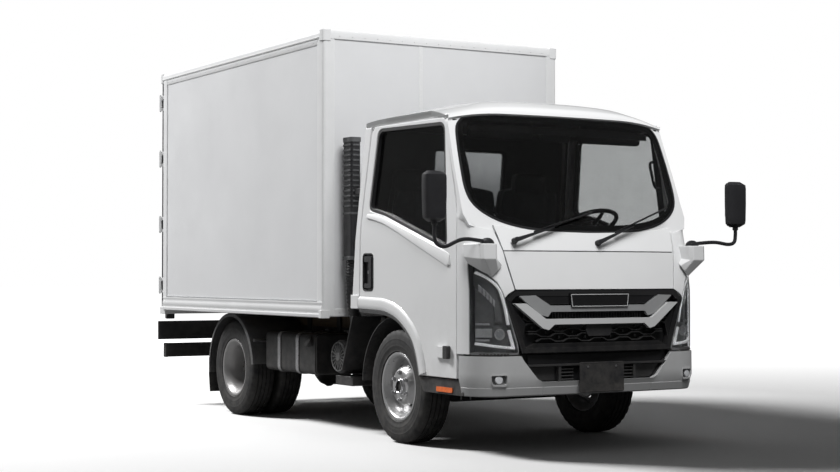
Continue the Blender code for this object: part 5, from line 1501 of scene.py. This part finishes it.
def tyre(name, body, side, x, y, replaces):
    half = [(0.08, 0.214), (0.088, 0.22), (0.0925, 0.224), (0.0915, 0.229), (0.096, 0.245), (0.0992, 0.256),
        (0.1, 0.26), (0.099, 0.264), (0.1, 0.27), (0.1, 0.286), (0.0988, 0.3), (0.0994, 0.302), (0.0985, 0.305),
        (0.096, 0.322), (0.0915, 0.337), (0.0865, 0.347), (0.08, 0.355), (0.074, 0.358), (0.053, 0.3592),
        (0.0515, 0.349), (0.0465, 0.349), (0.045, 0.3594), (0.02, 0.36), (0.0185, 0.349), (0.0135, 0.349),
        (0.012, 0.36)]
    hollow = [(-0.062, 0.203), (-0.084, 0.275), (-0.076, 0.338), (0.076, 0.338), (0.084, 0.275), (0.062, 0.203)]
    profile = half + [(-u, r) for u, r in half[::-1]] + hollow
    steps = 144

    def tread(t, u, r):
        k = int(round(t * steps / (2 * pi)))
        if r > 0.346 and abs(u) > 0.054 and k % 4 == 0:
            return (u, r - 0.0055)
        if 0.0119 < abs(u) < 0.0451 and r > 0.355 and (k + 2) % 4 == 0:
            return (u, r - 0.003)
        return (u, r)

    shape = Shape().lathe(profile, (x, y, AXLE_Z), steps, (side, 0, 0), closed=True, turn=tread)
    make(shape, name, RUBBER, body, [replaces], angle=30)


def disc(cx, cy, side, height, outer, hole, hands):
    """A pressed wheel disc: flat outline with hand holes, domed by height(radius)."""
    def onto(u, v, t):
        return (cx + side * (height(sqrt(u * u + v * v)) + t), cy + u, AXLE_Z + v)
    return Shape().plate(circle(outer, 72), -0.006, 0.0, onto, 0.014, [circle(hole, 48)] + hands)


def nuts(cx, cy, side, base, radius, count, size=0.0125, height=0.02):
    shape = Shape()
    for k in range(count):
        a = 2 * pi * (k + 0.5) / count
        c = (cx, cy + radius * cos(a), AXLE_Z + radius * sin(a))
        shape.lathe([(base, 0.0), (base, size * 1.35), (base + 0.003, size * 1.3), (base + 0.003, 0.0)], c, 24,
            (side, 0, 0))
        shape.lathe([(base + 0.003, 0.0), (base + 0.003, size), (base + height - 0.002, size),
            (base + height, size * 0.86), (base + height, 0.0)], c, 6, (side, 0, 0))
        shape.lathe([(base + height, 0.0), (base + height, size * 0.5), (base + height + 0.005, size * 0.45),
            (base + height + 0.006, 0.0)], c, 14, (side, 0, 0))
    return shape


def wheels():
    def front_wheel(name, side):
        body, cx = "front_wheel_" + name, side * 0.715
        height = table_of([(0.04, 0.074), (0.101, 0.074), (0.108, 0.07), (0.116, 0.056), (0.126, 0.04),
            (0.15, 0.022), (0.172, 0.014)])
        hands = [slot_at(0.14, 2 * pi * k / 6, 0.021, 0.0105) for k in range(6)]
        make(disc(cx, 0.0, side, height, 0.17, 0.046, hands), "front_disc_" + name, DISC, body,
            ["front_rim_" + name], angle=50)
        barrel = [(0.01, 0.1665), (0.024, 0.169), (0.044, 0.1735), (0.06, 0.182), (0.07, 0.1895),
            (0.079, 0.1925), (0.086, 0.201), (0.0885, 0.21), (0.088, 0.2155), (0.0855, 0.2175), (0.0825, 0.216),
            (0.08, 0.211), (0.034, 0.176), (-0.034, 0.176), (-0.08, 0.211), (-0.087, 0.216), (-0.088, 0.212),
            (-0.07, 0.19), (-0.03, 0.169)]
        make(Shape().lathe(barrel, (cx, 0, AXLE_Z), 96, (side, 0, 0), closed=True), "front_barrel_" + name,
            DISC, body, bevel=0.0008, segments=1)
        hub = Shape().lathe([(0.02, 0.03), (0.02, 0.048), (0.08, 0.048), (0.088, 0.0465), (0.0915, 0.043),
            (0.0915, 0.039), (0.088, 0.035), (0.07, 0.033)], (cx, 0, AXLE_Z), 64, (side, 0, 0), closed=True)
        make(hub, "front_hub_" + name, CHROME, body, bevel=0.001)
        cap = Shape().lathe([(0.02, 0.0), (0.02, 0.0325), (0.074, 0.032), (0.077, 0.028), (0.079, 0.015),
            (0.08, 0.0)], (cx, 0, AXLE_Z), 48, (side, 0, 0))
        for k in range(6):
            a = 2 * pi * k / 6
            cap.lathe([(0.074, 0.0045), (0.081, 0.004), (0.0815, 0.0)],
                (cx, 0.0235 * cos(a), AXLE_Z + 0.0235 * sin(a)), 6, (side, 0, 0))
        make(cap, "front_hub_cap_" + name, CHASSIS, body, bevel=0.0008, segments=1)
        make(nuts(cx, 0.0, side, 0.072, 0.086, 6), "front_nuts_" + name, STEEL, body, bevel=0.0008,
            segments=1)
        valve = Shape().tube([(cx + side * 0.02, 0.157, AXLE_Z), (cx + side * 0.052, 0.16, AXLE_Z)], 0.0035, 10)
        make(valve, "front_valve_" + name, STEEL, body)
        tyre("front_tyre_tread_" + name, body, side, cx, 0.0, "front_tyre_" + name)

    def rear_wheel(name, side):
        body, cx = "rear_wheel_" + name, side * 0.63
        height = table_of([(0.05, 0.022), (0.07, 0.016), (0.112, 0.014), (0.132, 0.016), (0.146, 0.024),
            (0.158, 0.04)])
        hands = [circle(0.013, 20, 0.127 * cos(2 * pi * k / 8), 0.127 * sin(2 * pi * k / 8)) for k in range(8)]
        plates = disc(cx, WHEELBASE, side, height, 0.156, 0.052, hands)
        make(plates, "rear_disc_" + name, RIM, body, ["rear_rim_" + name], angle=50)
        back = disc(cx, WHEELBASE, -side, height, 0.156, 0.052, hands)
        make(back, "rear_disc_inner_" + name, RIM, body, angle=50)
        barrel = [(0.03, 0.156), (0.044, 0.158), (0.07, 0.1605), (0.12, 0.162), (0.15, 0.165), (0.17, 0.173),
            (0.184, 0.186), (0.194, 0.1935), (0.2005, 0.202), (0.2035, 0.211), (0.203, 0.216), (0.2, 0.2175),
            (0.197, 0.2155), (0.195, 0.211), (0.15, 0.176), (0.075, 0.176), (0.036, 0.204), (0.029, 0.215),
            (0.0255, 0.212), (0.027, 0.19), (0.03, 0.17)]
        rims = Shape()
        for way in (1, -1):
            rims.lathe([(way * u, r) for u, r in barrel], (cx, WHEELBASE, AXLE_Z), 96, (side, 0, 0),
                closed=True)
        make(rims, "rear_barrels_" + name, RIM, body, bevel=0.0008, segments=1)
        hub = Shape().lathe([(-0.13, 0.0), (-0.13, 0.11), (-0.03, 0.112), (-0.028, 0.06), (0.016, 0.056),
            (0.06, 0.054), (0.088, 0.052), (0.092, 0.06), (0.1, 0.0595), (0.104, 0.056), (0.106, 0.03),
            (0.107, 0.0)], (cx, WHEELBASE, AXLE_Z), 64, (side, 0, 0))
        for k in range(8):
            a = 2 * pi * k / 8
            hub.lathe([(0.103, 0.0065), (0.11, 0.006), (0.1105, 0.0)],
                (cx, WHEELBASE + 0.047 * cos(a), AXLE_Z + 0.047 * sin(a)), 6, (side, 0, 0))
        make(hub, "rear_hub_" + name, CHASSIS, body, bevel=0.0012)
        make(nuts(cx, WHEELBASE, side, 0.014, 0.088, 6, 0.012, 0.026), "rear_nuts_" + name, STEEL, body,
            bevel=0.0008, segments=1)
        for key, x in (("inner", 0.515), ("outer", 0.745)):
            tyre("rear_tyre_tread_%s_%s" % (name, key), body, side, side * x, WHEELBASE,
                "rear_tyre_%s_%s" % (name, key))

    both(front_wheel)
    both(rear_wheel)


# ---- cab: floor, interior, mirrors, wipers ---------------------------------------------------------------
def cab_under():
    deck = Shape().box(-0.775, 0.775, -0.82, 0.515, 0.8, 0.815)
    for side in (-1, 1):
        deck.box(side * 0.6, side * 0.786, -0.786, -0.4, 0.418, 0.44)
        deck.box(side * 0.6, side * 0.614, -0.786, -0.4, 0.43, 0.81)
        for x in (0.64, 0.69, 0.74):
            deck.box(side * x, side * (x + 0.022), -0.76, -0.42, 0.4405, 0.446)
    for x in (-0.45, -0.15, 0.15, 0.45):
        deck.box(x - 0.03, x + 0.03, -0.79, 0.5, 0.77, 0.802)
    make(deck, "cab_deck", CHASSIS, "cab", ["cab_floor"], bevel=0.004)

    def sill(name, side):
        on = lambda y, z, t: (side * (0.806 + t), y, z)
        outline = rounded([(-0.3, 0.443), (-0.79, 0.443), (-0.835, 0.352), (-0.362, 0.352)],
            [.012, .012, .02, .03])
        make(Shape().plate(outline, -0.03, 0.028, on, 0.08), "step_sill_" + name, PLASTIC, "cab",
            bevel=0.008, segments=3)
        lamp = rounded([(-0.524, 0.364), (-0.706, 0.364), (-0.706, 0.394), (-0.524, 0.394)], 0.008)
        make(Shape().plate(lamp, 0.024, 0.034, on, 0.08), "side_marker_" + name, AMBER, "cab",
            bevel=0.003)
        rings = []
        for k in range(25):
            a = radians(181 - 7.5 * k)
            rings.append([(side * x, 0.02 + (0.432 + t) * cos(a), 0.365 + (0.432 + t) * sin(a)) for x,
                t in ((0.56, 0.0), (0.815, 0.0), (0.815, 0.006), (0.56, 0.006))])
        faces = [[3, 2, 1, 0], [96, 97, 98, 99]]
        faces += [[4 * i + k, 4 * i + 4 + k, 4 * i + 4 + (k + 1) % 4, 4 * i + (k + 1) % 4] for i in range(24)
            for k in range(4)]
        make(Shape().add([p for r in rings for p in r], faces), "arch_liner_" + name, PLASTIC, "cab")

    both(sill)


CLOTH_PRESSURE, CLOTH_FRAMES, SWELL_LIMIT = 4.0, 20, 0.016


def cushion(name, width, depth, height, place, tilt, seams, material=None):
    """A stuffed pad with sewn channels: a crowned slab that cloth pressure swells between its pinned seams."""
    nx, ny, nz = int(width / 0.022), int(depth / 0.022), 4
    bm = bmesh.new()
    grid = {}
    counts = (nx, ny, nz)
    for i, j, k in product(*(range(n + 1) for n in counts)):
        if 0 < i < nx and 0 < j < ny and 0 < k < nz:
            continue
        u, v, w = 2 * i / nx - 1, 2 * j / ny - 1, 2 * k / nz - 1
        round_off = (abs(u) ** 8 + abs(v) ** 8) ** 0.5
        crowned = 1 - 0.42 * min(1.0, round_off)
        pull = 1 - 0.035 * (1 - w * w)
        x = width / 2 * u * (1 - 0.06 * abs(v) ** 6) * (1.035 * pull)
        y = depth / 2 * v * (1 - 0.06 * abs(u) ** 6) * (1.035 * pull)
        grid[i, j, k] = bm.verts.new((x, y, height / 2 * w * (crowned if w > 0 else 0.92)))
    for cell in product(*(range(n + 1) for n in counts)):
        for a, b in ((0, 1), (0, 2), (1, 2)):
            if cell[3 - a - b] not in (0, counts[3 - a - b]):
                continue
            ring = []
            for da, db in ((0, 0), (1, 0), (1, 1), (0, 1)):
                at = list(cell)
                at[a] += da
                at[b] += db
                ring.append(tuple(at))
            if all(at in grid for at in ring):
                bm.faces.new([grid[at] for at in ring])
    bmesh.ops.recalc_face_normals(bm, faces=bm.faces)
    mesh = bpy.data.meshes.new(name)
    bm.to_mesh(mesh)
    bm.free()
    obj = bpy.data.objects.new(name, mesh)
    bpy.context.scene.collection.objects.link(obj)
    rest = [v.co.copy() for v in mesh.vertices]
    pinned = obj.vertex_groups.new(name="pinned")
    for v in mesh.vertices:
        u, w = v.co.x / (width / 2), v.co.z / (height / 2)
        on_seam = w > 0.2 and any(abs(u - s) < 0.6 * 0.044 / width for s in seams[0])
        on_seam |= w > 0.2 and any(abs(v.co.y / (depth / 2) - s) < 0.6 * 0.044 / depth for s in seams[1])
        if w < -0.85 or on_seam:
            pinned.add([v.index], 1.0, "REPLACE")
            if on_seam:
                v.co.z -= 0.01
                rest[v.index] = v.co.copy()
    cloth_mod = obj.modifiers.new("cloth", "CLOTH")
    settings = cloth_mod.settings
    settings.quality, settings.mass = 4, 0.3
    settings.vertex_group_mass = "pinned"
    settings.use_pressure, settings.uniform_pressure_force = True, CLOTH_PRESSURE
    settings.effector_weights.gravity = 0.0
    settings.tension_stiffness = settings.compression_stiffness = 20.0
    settings.shear_stiffness, settings.bending_stiffness = 10.0, 0.4
    cloth_mod.collision_settings.use_self_collision = False
    for step in range(1, CLOTH_FRAMES + 1):
        bpy.context.scene.frame_set(step)
    graph = bpy.context.evaluated_depsgraph_get()
    swollen = [v.co.copy() for v in obj.evaluated_get(graph).data.vertices]
    obj.modifiers.remove(cloth_mod)
    bpy.context.scene.frame_set(1)
    for v, start, end in zip(mesh.vertices, rest, swollen):
        move = end - start
        v.co = start + move * min(1.0, SWELL_LIMIT / max(move.length, 1e-9))
    turn = Matrix.Rotation(tilt, 3, "X")
    px, py, pz = place
    for v in mesh.vertices:
        v.co = turn @ v.co + Vector((px, py + AXLE_Y, pz))
    mesh.update()
    mesh.shade_smooth()
    mesh.materials.append(material or FABRIC)
    soft = obj.modifiers.new("smooth", "SUBSURF")
    soft.levels = soft.render_levels = 1
    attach(obj, "cab")
    return obj


def seats():
    for name, x0, x1, node in (("driver", 0.18, 0.66, "driver_seat"),
            ("passenger", -0.66, 0.14, "passenger_seat")):
        mid, wide = (x0 + x1) / 2, x1 - x0
        split = [0.0] if wide > 0.6 else []
        seams = ([-0.62, 0.62] + split, [-0.45, 0.05, 0.55])
        base = cushion("seat_cushion_" + name, wide - 0.02, 0.47, 0.125, (mid, 0.125, 1.095), radians(-4),
            seams)
        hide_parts(node)
        seams = ([-0.62, 0.62] + split, [-0.55, -0.1, 0.35])
        cushion("seat_back_" + name, wide - 0.03, 0.6, 0.11, (mid, 0.375, 1.35), radians(90 + 7.6), seams)
        rests = (mid,) if wide < 0.6 else (-0.52,)
        bars = Shape()
        for k, x in enumerate(rests):
            cushion("head_rest_%s_%d" % (name, k), 0.25, 0.15, 0.085, (x, 0.325, 1.685), radians(90 + 7.6),
                ([], []), material=BOLSTER)
            for dx in (-0.055, 0.055):
                bars.tube([(x + dx, 0.338, 1.58), (x + dx, 0.328, 1.66)], 0.005, 10)
        make(bars, "head_rest_bars_" + name, CHROME, "cab")
        stand = Shape().prism("x", rounded([(-0.06, 0.8165), (0.38, 0.8165), (0.36, 0.93), (0.4, 1.04),
            (-0.09, 1.035), (-0.05, 0.93)], 0.02), x0 + 0.04, x1 - 0.04)
        make(stand, "seat_stand_" + name, TRIM, "cab", bevel=0.01, segments=3)
        shell = Shape().prism("x", rounded([(0.4, 1.0), (0.47, 1.03), (0.385, 1.64), (0.35, 1.64)], 0.015), x0
            + 0.03, x1 - 0.03)
        make(shell, "seat_shell_" + name, TRIM, "cab", bevel=0.01, segments=3)


def dashboard():
    dash = rounded([(-0.815, 1.02), (-0.56, 0.98), (-0.5, 1.1), (-0.52, 1.22), (-0.6, 1.3), (-0.8, 1.318)],
        [.02, .04, .05, .04, .06, .02])
    body = Shape().prism("x", dash, -0.745, 0.745)
    hood = rounded([(-0.66, 1.24), (-0.515, 1.2), (-0.52, 1.335), (-0.6, 1.385), (-0.7, 1.34)], 0.02)
    body.prism("x", hood, 0.23, 0.61)
    body.prism("x", rounded([(-0.62, 0.9), (-0.5, 0.92), (-0.475, 1.14), (-0.5, 1.27), (-0.6, 1.3)], 0.02),
        -0.16, 0.16)
    make(body, "dashboard_shell", TRIM, "cab", ["dashboard"], bevel=0.01, segments=3)
    vents = Shape()
    for x in (-0.66, -0.5, 0.665):
        for k in range(4):
            z = 1.15 + 0.018 * k
            vents.box(x - 0.045, x + 0.045, -0.512, -0.498, z, z + 0.005)
    for x in (-0.075, 0.075):
        for k in range(4):
            vents.box(x - 0.045, x + 0.045, -0.485, -0.472, 1.165 + 0.018 * k, 1.17 + 0.018 * k)
    vents.box(-0.11, 0.11, -0.482, -0.47, 1.02, 1.13)
    make(vents, "dashboard_vents", GLOSS, "cab", bevel=0.0015, segments=1)
    knobs = Shape()
    for x in (-0.07, 0.0, 0.07):
        knobs.lathe([(0.0, 0.018), (0.014, 0.015), (0.015, 0.0)], (x, -0.477, 0.985), 24, (0, 1, 0))
    make(knobs, "dashboard_knobs", GREY_TRIM, "cab")
    centre = Vector((0.42, -0.36, 1.395))
    axis = Vector((0.0, 0.45, 0.893)).normalized()
    rim = Shape().lathe([(0.0145 * sin(2 * pi * k / 12), 0.19 + 0.0145 * cos(2 * pi * k / 12))
        for k in range(12)], centre, 64, axis, closed=True)
    u, v = Vector((1, 0, 0)), axis.cross(Vector((1, 0, 0)))
    for a in (0.0, pi, -pi / 2):
        d = cos(a) * u + sin(a) * v
        rim.tube([centre - axis * 0.02 + d * 0.03, centre - axis * 0.02 + d * 0.11, centre + d * 0.188],
            lambda t: 0.017 - 0.007 * t, 12, 6)
    rim.lathe([(-0.045, 0.0), (-0.045, 0.05), (-0.03, 0.066), (-0.006, 0.068), (0.006, 0.056), (0.01, 0.03),
        (0.011, 0.0)], centre, 36, axis)
    rim.lathe([(-0.112, 0.0), (-0.112, 0.023), (-0.04, 0.023), (-0.04, 0.0)], centre, 20, axis)
    make(rim, "steering_wheel_rim", PLASTIC, "steering_wheel", ["steering_wheel"])
    column = Shape().lathe([(-0.38, 0.0), (-0.38, 0.036), (-0.16, 0.04), (-0.12, 0.034), (-0.116, 0.026),
        (-0.116, 0.0)], centre, 28, axis)
    for way in (-1, 1):
        column.tube([centre - axis * 0.14, centre - axis * 0.13 + u * way * 0.06, centre - axis * 0.12
            + u * way * 0.13], lambda t: 0.008 - 0.003 * t, 10, 4)
    make(column, "steering_column", TRIM, "cab")
    glass_mirror = rounded([(-0.11, 1.9), (0.11, 1.9), (0.12, 1.955), (-0.12, 1.955)], 0.018)
    inner = Shape().plate(glass_mirror, 0.0, 0.022, upright("y", -0.585, 1), 0.1)
    inner.tube([(0.0, -0.585, 1.94), (0.0, -0.61, 1.99)], 0.008, 10)
    make(inner, "interior_mirror", PLASTIC, "cab", bevel=0.004)


def mirrors():
    def mirror(name, side):
        px, py, pz = 0.77, -0.985, 1.262
        dip = -0.03 if side < 0 else 0.0
        path = [(side * px, py, pz), (side * (px + 0.17), py - 0.01, pz + 0.012),
            (side * (px + 0.29), py - 0.01, pz + dip), (side * (px + 0.345), py - 0.005, pz + dip + 0.015),
            (side * (px + 0.36), py, pz + dip + 0.06), (side * (px + 0.36), py, 1.378)]
        arm = Shape().tube(path, 0.0115, 18, 8)
        arm.lathe([(1.2505, 0.0), (1.2505, 0.041), (1.254, 0.042), (1.266, 0.038), (1.276, 0.028),
            (1.283, 0.016), (1.285, 0.0)], (side * px, py, 0.0), 36, (0, 0, 1))
        arm.lathe([(1.352, 0.012), (1.356, 0.018), (1.372, 0.018), (1.374, 0.0)], (side * (px + 0.36), py, 0),
            24, (0, 0, 1))
        make(arm, "mirror_stalk_" + name, PLASTIC, "mirror_arm_" + name,
            ["mirror_arm_" + name], angle=50)
        hx = side * (px + 0.36)
        rows = []
        for k in range(15):
            t = k / 14
            z = 1.3725 + 0.2925 * t
            e = 1 - (2 * t - 1) ** 2
            w = 0.076 * (0.55 + 0.45 * min(1.0, e * 3.4) ** 0.5) - 0.012 * max(0.0, 0.5 - t)
            d = 0.05 * (0.35 + 0.65 * min(1.0, e * 3.0) ** 0.55)
            ring = []
            for j in range(25):
                a = pi * j / 24
                c, s = cos(a), sin(a)
                ring.append((hx + w * (abs(c) ** 0.55) * (1 if c > 0 else -1), py
                    + 0.014 - (d + 0.01) * s ** 0.75, z))
            rows.append(ring)
        m = len(rows[0])
        verts = [p for r in rows for p in r]
        faces = [[i * m + j, i * m + j + 1, (i + 1) * m + j + 1, (i + 1) * m + j] for i in range(14)
            for j in range(m - 1)]
        faces += [[i * m + m - 1, i * m, (i + 1) * m, (i + 1) * m + m - 1] for i in range(14)]
        faces += [list(range(m))[::-1], list(range(14 * m, 15 * m))]
        shell = Shape().add(verts, faces)
        make(shell, "mirror_shell_" + name, PLASTIC, "mirror_head_" + name,
            ["mirror_head_" + name], bevel=0.004, segments=3, angle=32)
        on = lambda x, z, t: (hx + x, py + 0.014 + t, z)
        upper = rounded([(-0.064, 1.462), (0.064, 1.462), (0.06, 1.648), (-0.06, 1.648)], 0.022)
        lower = rounded([(-0.052, 1.388), (0.052, 1.388), (0.062, 1.45), (-0.062, 1.45)], 0.018)
        bezel = Shape().plate(rounded([(-0.058, 1.379), (0.058, 1.379), (0.071, 1.45), (0.068, 1.658),
            (-0.068, 1.658), (-0.071, 1.45)], 0.024), -0.002, 0.006, on, 0.1,
            [grown(upper, -0.001), grown(lower, -0.001)])
        make(bezel, "mirror_bezel_" + name, GLOSS, "mirror_head_" + name, bevel=0.0015,
            segments=1)
        panes = Shape().plate(upper, -0.001, 0.0035, on, 0.1).plate(lower, -0.001, 0.0035, on, 0.02)
        make(panes, "mirror_panes_" + name, MIRROR, "mirror_head_" + name)

    both(mirror)


def wipers():
    normal, up, across = Vector((0.0, -0.9435, 0.3315)), Vector((0.0, 0.3315, 0.9435)), Vector((1.0, 0.0, 0.0))
    for name, pivot, tip in (("right", (-0.56, -0.958, 1.268), 16.0), ("left", (0.045, -0.968, 1.26), 21.0)):
        pivot = Vector(pivot)
        ahead = cos(radians(tip)) * across + sin(radians(tip)) * up
        beside = ahead.cross(normal).normalized()
        base = pivot + normal * 0.03
        frame_of = lambda a, b, c: tuple(base + ahead * a + beside * b + normal * c)
        arm = Shape()

        def bar(stations):
            rings = [[frame_of(a, -w, -h), frame_of(a, w, -h), frame_of(a, w * 0.7, h),
                frame_of(a, -w * 0.7, h)] for a, w, h in stations]
            faces = [[3, 2, 1, 0], [4 * len(rings) - 4 + k for k in range(4)]]
            faces += [[4 * i + k, 4 * i + (k + 1) % 4, 4 * i + 4 + (k + 1) % 4, 4 * i + 4 + k]
                for i in range(len(rings) - 1) for k in range(4)]
            arm.add([p for r in rings for p in r], faces)

        bar([(-0.02, 0.01, 0.006), (0.0, 0.015, 0.009), (0.06, 0.012, 0.009), (0.14, 0.009, 0.006),
            (0.3, 0.006, 0.004)])
        arm.lathe([(-0.034, 0.0), (-0.034, 0.02), (-0.02, 0.018), (0.0, 0.015), (0.01, 0.013), (0.013, 0.0)],
            base, 24, normal)
        arm.tube([base + ahead * 0.295, base + ahead * 0.3 + up * 0.012 - normal * 0.004], 0.006, 12, 1)
        make(arm, "wiper_arm_" + name, PLASTIC, "wiper_" + name, ["wiper_" + name],
            bevel=0.0015, segments=2)
        blade = Shape()
        start = base + up * 0.012 - normal * 0.004
        for lift, w, a0, a1 in ((0.002, 0.006, 0.14, 0.62), (-0.0085, 0.0018, 0.145, 0.615)):
            ring = []
            for a in (a0, a1):
                c = start + ahead * a + normal * lift
                ring.append([tuple(c + beside * w * i + normal * 0.0045 * j) for i,
                    j in ((-1, -1), (1, -1), (0.6, 1), (-0.6, 1))])
            blade.add(ring[0] + ring[1], [[3, 2, 1, 0], [4, 5, 6, 7]]
                + [[k, (k + 1) % 4, 4 + (k + 1) % 4, 4 + k] for k in range(4)])
        blade.tube([start + ahead * 0.2 + normal * 0.008, start + ahead * 0.3 + normal * 0.016, start
            + ahead * 0.4 + normal * 0.008], 0.0045, 10, 6)
        make(blade, "wiper_blade_" + name, RUBBER, "wiper_" + name, bevel=0.001, segments=1)


# ---- stage ---------------------------------------------------------------------------------------------
def seen_or_not(tree, seen, unseen):
    """A value that differs between what the camera sees directly and what light and reflections meet."""
    path = tree.nodes.new("ShaderNodeLightPath")
    node = tree.nodes.new("ShaderNodeMapRange")
    node.inputs["To Min"].default_value, node.inputs["To Max"].default_value = seen, unseen
    bounced = tree.nodes.new("ShaderNodeMath")
    tree.links.new(path.outputs["Diffuse Depth"], bounced.inputs[0])
    tree.links.new(path.outputs["Glossy Depth"], bounced.inputs[1])
    tree.links.new(bounced.outputs["Value"], node.inputs["Value"])
    return node.outputs["Result"]


def stage():
    mesh = bpy.data.meshes.new("studio_floor")
    ring = [(120 * cos(2 * pi * k / 64), 120 * sin(2 * pi * k / 64), -0.001) for k in range(64)]
    mesh.from_pydata(ring, [], [list(range(64))])
    floor = bpy.data.objects.new("studio_floor", mesh)
    bpy.context.scene.collection.objects.link(floor)
    g = Graph("studio_floor_white")
    pale = g.mix(g.noise(0.6, 4.0), (0.93, 0.93, 0.93), (0.95, 0.95, 0.95))
    g.link(g.mix(seen_or_not(g.tree, 1.0, 0.0), (0.3, 0.3, 0.3), pale), g.shader.inputs["Base Color"])
    g.shader.inputs["Roughness"].default_value = 0.9
    g.shader.inputs["Specular IOR Level"].default_value = 0.0
    g.shader.inputs["Emission Color"].default_value = (1, 1, 1, 1)
    away = g.tree.nodes.new("ShaderNodeVectorMath")
    away.operation = "LENGTH"
    g.link(g.place, away.inputs[0])
    g.link(g.maths("MULTIPLY", g.ranged(away.outputs["Value"], 4.5, 13.0, 0.0, 1.0),
        seen_or_not(g.tree, 1.0, 0.0)), g.shader.inputs["Emission Strength"])
    mesh.materials.append(g.material)
    world = bpy.data.worlds.new("studio_world")
    bpy.context.scene.world = world
    world.use_nodes = True
    sky = world.node_tree.nodes["Background"]
    sky.inputs["Color"].default_value = (1, 1, 1, 1)
    world.node_tree.links.new(seen_or_not(world.node_tree, 1.0, 0.07), sky.inputs["Strength"])
    def all_but(name, *spared):
        """A set of receivers for a light that leaves some objects out."""
        receivers = bpy.data.collections.new(name)
        for obj in spared:
            receivers.objects.link(obj)
        for row in receivers.collection_objects:
            row.light_linking.link_state = "EXCLUDE"
        return receivers

    filled = all_but("filled", floor, bpy.data.objects["box_roof_skin"])
    keyed = all_but("keyed", bpy.data.objects["roof_panel"])
    for name, place, aim, size, watts in (("key_light", (-8.2, 9.9, 12.6), (0, 0, 0.8), 4.5, 4150),
            ("front_fill", (-1.2, -6.0, 7.8), (0, -1.2, 1.5), 4.0, 780),
            ("left_fill", (10.0, 0.0, 6.0), (0, 0.5, 1.5), 5.0, 600)):
        data = bpy.data.lights.new(name, "AREA")
        data.energy, data.size = watts, size
        lamp = bpy.data.objects.new(name, data)
        lamp.location = place
        lamp.rotation_euler = (Vector(aim) - Vector(place)).to_track_quat("-Z", "Y").to_euler()
        bpy.context.scene.collection.objects.link(lamp)
        lamp.light_linking.receiver_collection = keyed if name == "key_light" else filled
        lamp.visible_glossy = name == "key_light"
    bpy.context.scene.view_settings.view_transform = "Standard"
    data = bpy.data.cameras.new("photo_view")
    data.lens, data.sensor_width, data.clip_end = 69.65, 36.0, 400.0
    camera = bpy.data.objects.new("photo_view", data)
    yaw, pitch = 0.53248, 0.02317
    ahead = Vector((sin(yaw) * cos(pitch), cos(yaw) * cos(pitch), sin(pitch)))
    camera.location = (-5.92632, -10.33817, 1.07465)
    camera.rotation_euler = ahead.to_track_quat("-Z", "Y").to_euler()
    bpy.context.scene.collection.objects.link(camera)
    bpy.context.scene.camera = camera


for build in (nose_panels, lower_front, grille, headlamps, screen_and_pillars, roof, cab_rear, doors, van_body,
        cargo_doors, ladder, running_gear, engine, side_units, snorkel, wheels, cab_under, seats, dashboard,
        mirrors, wipers, stage):
    build()
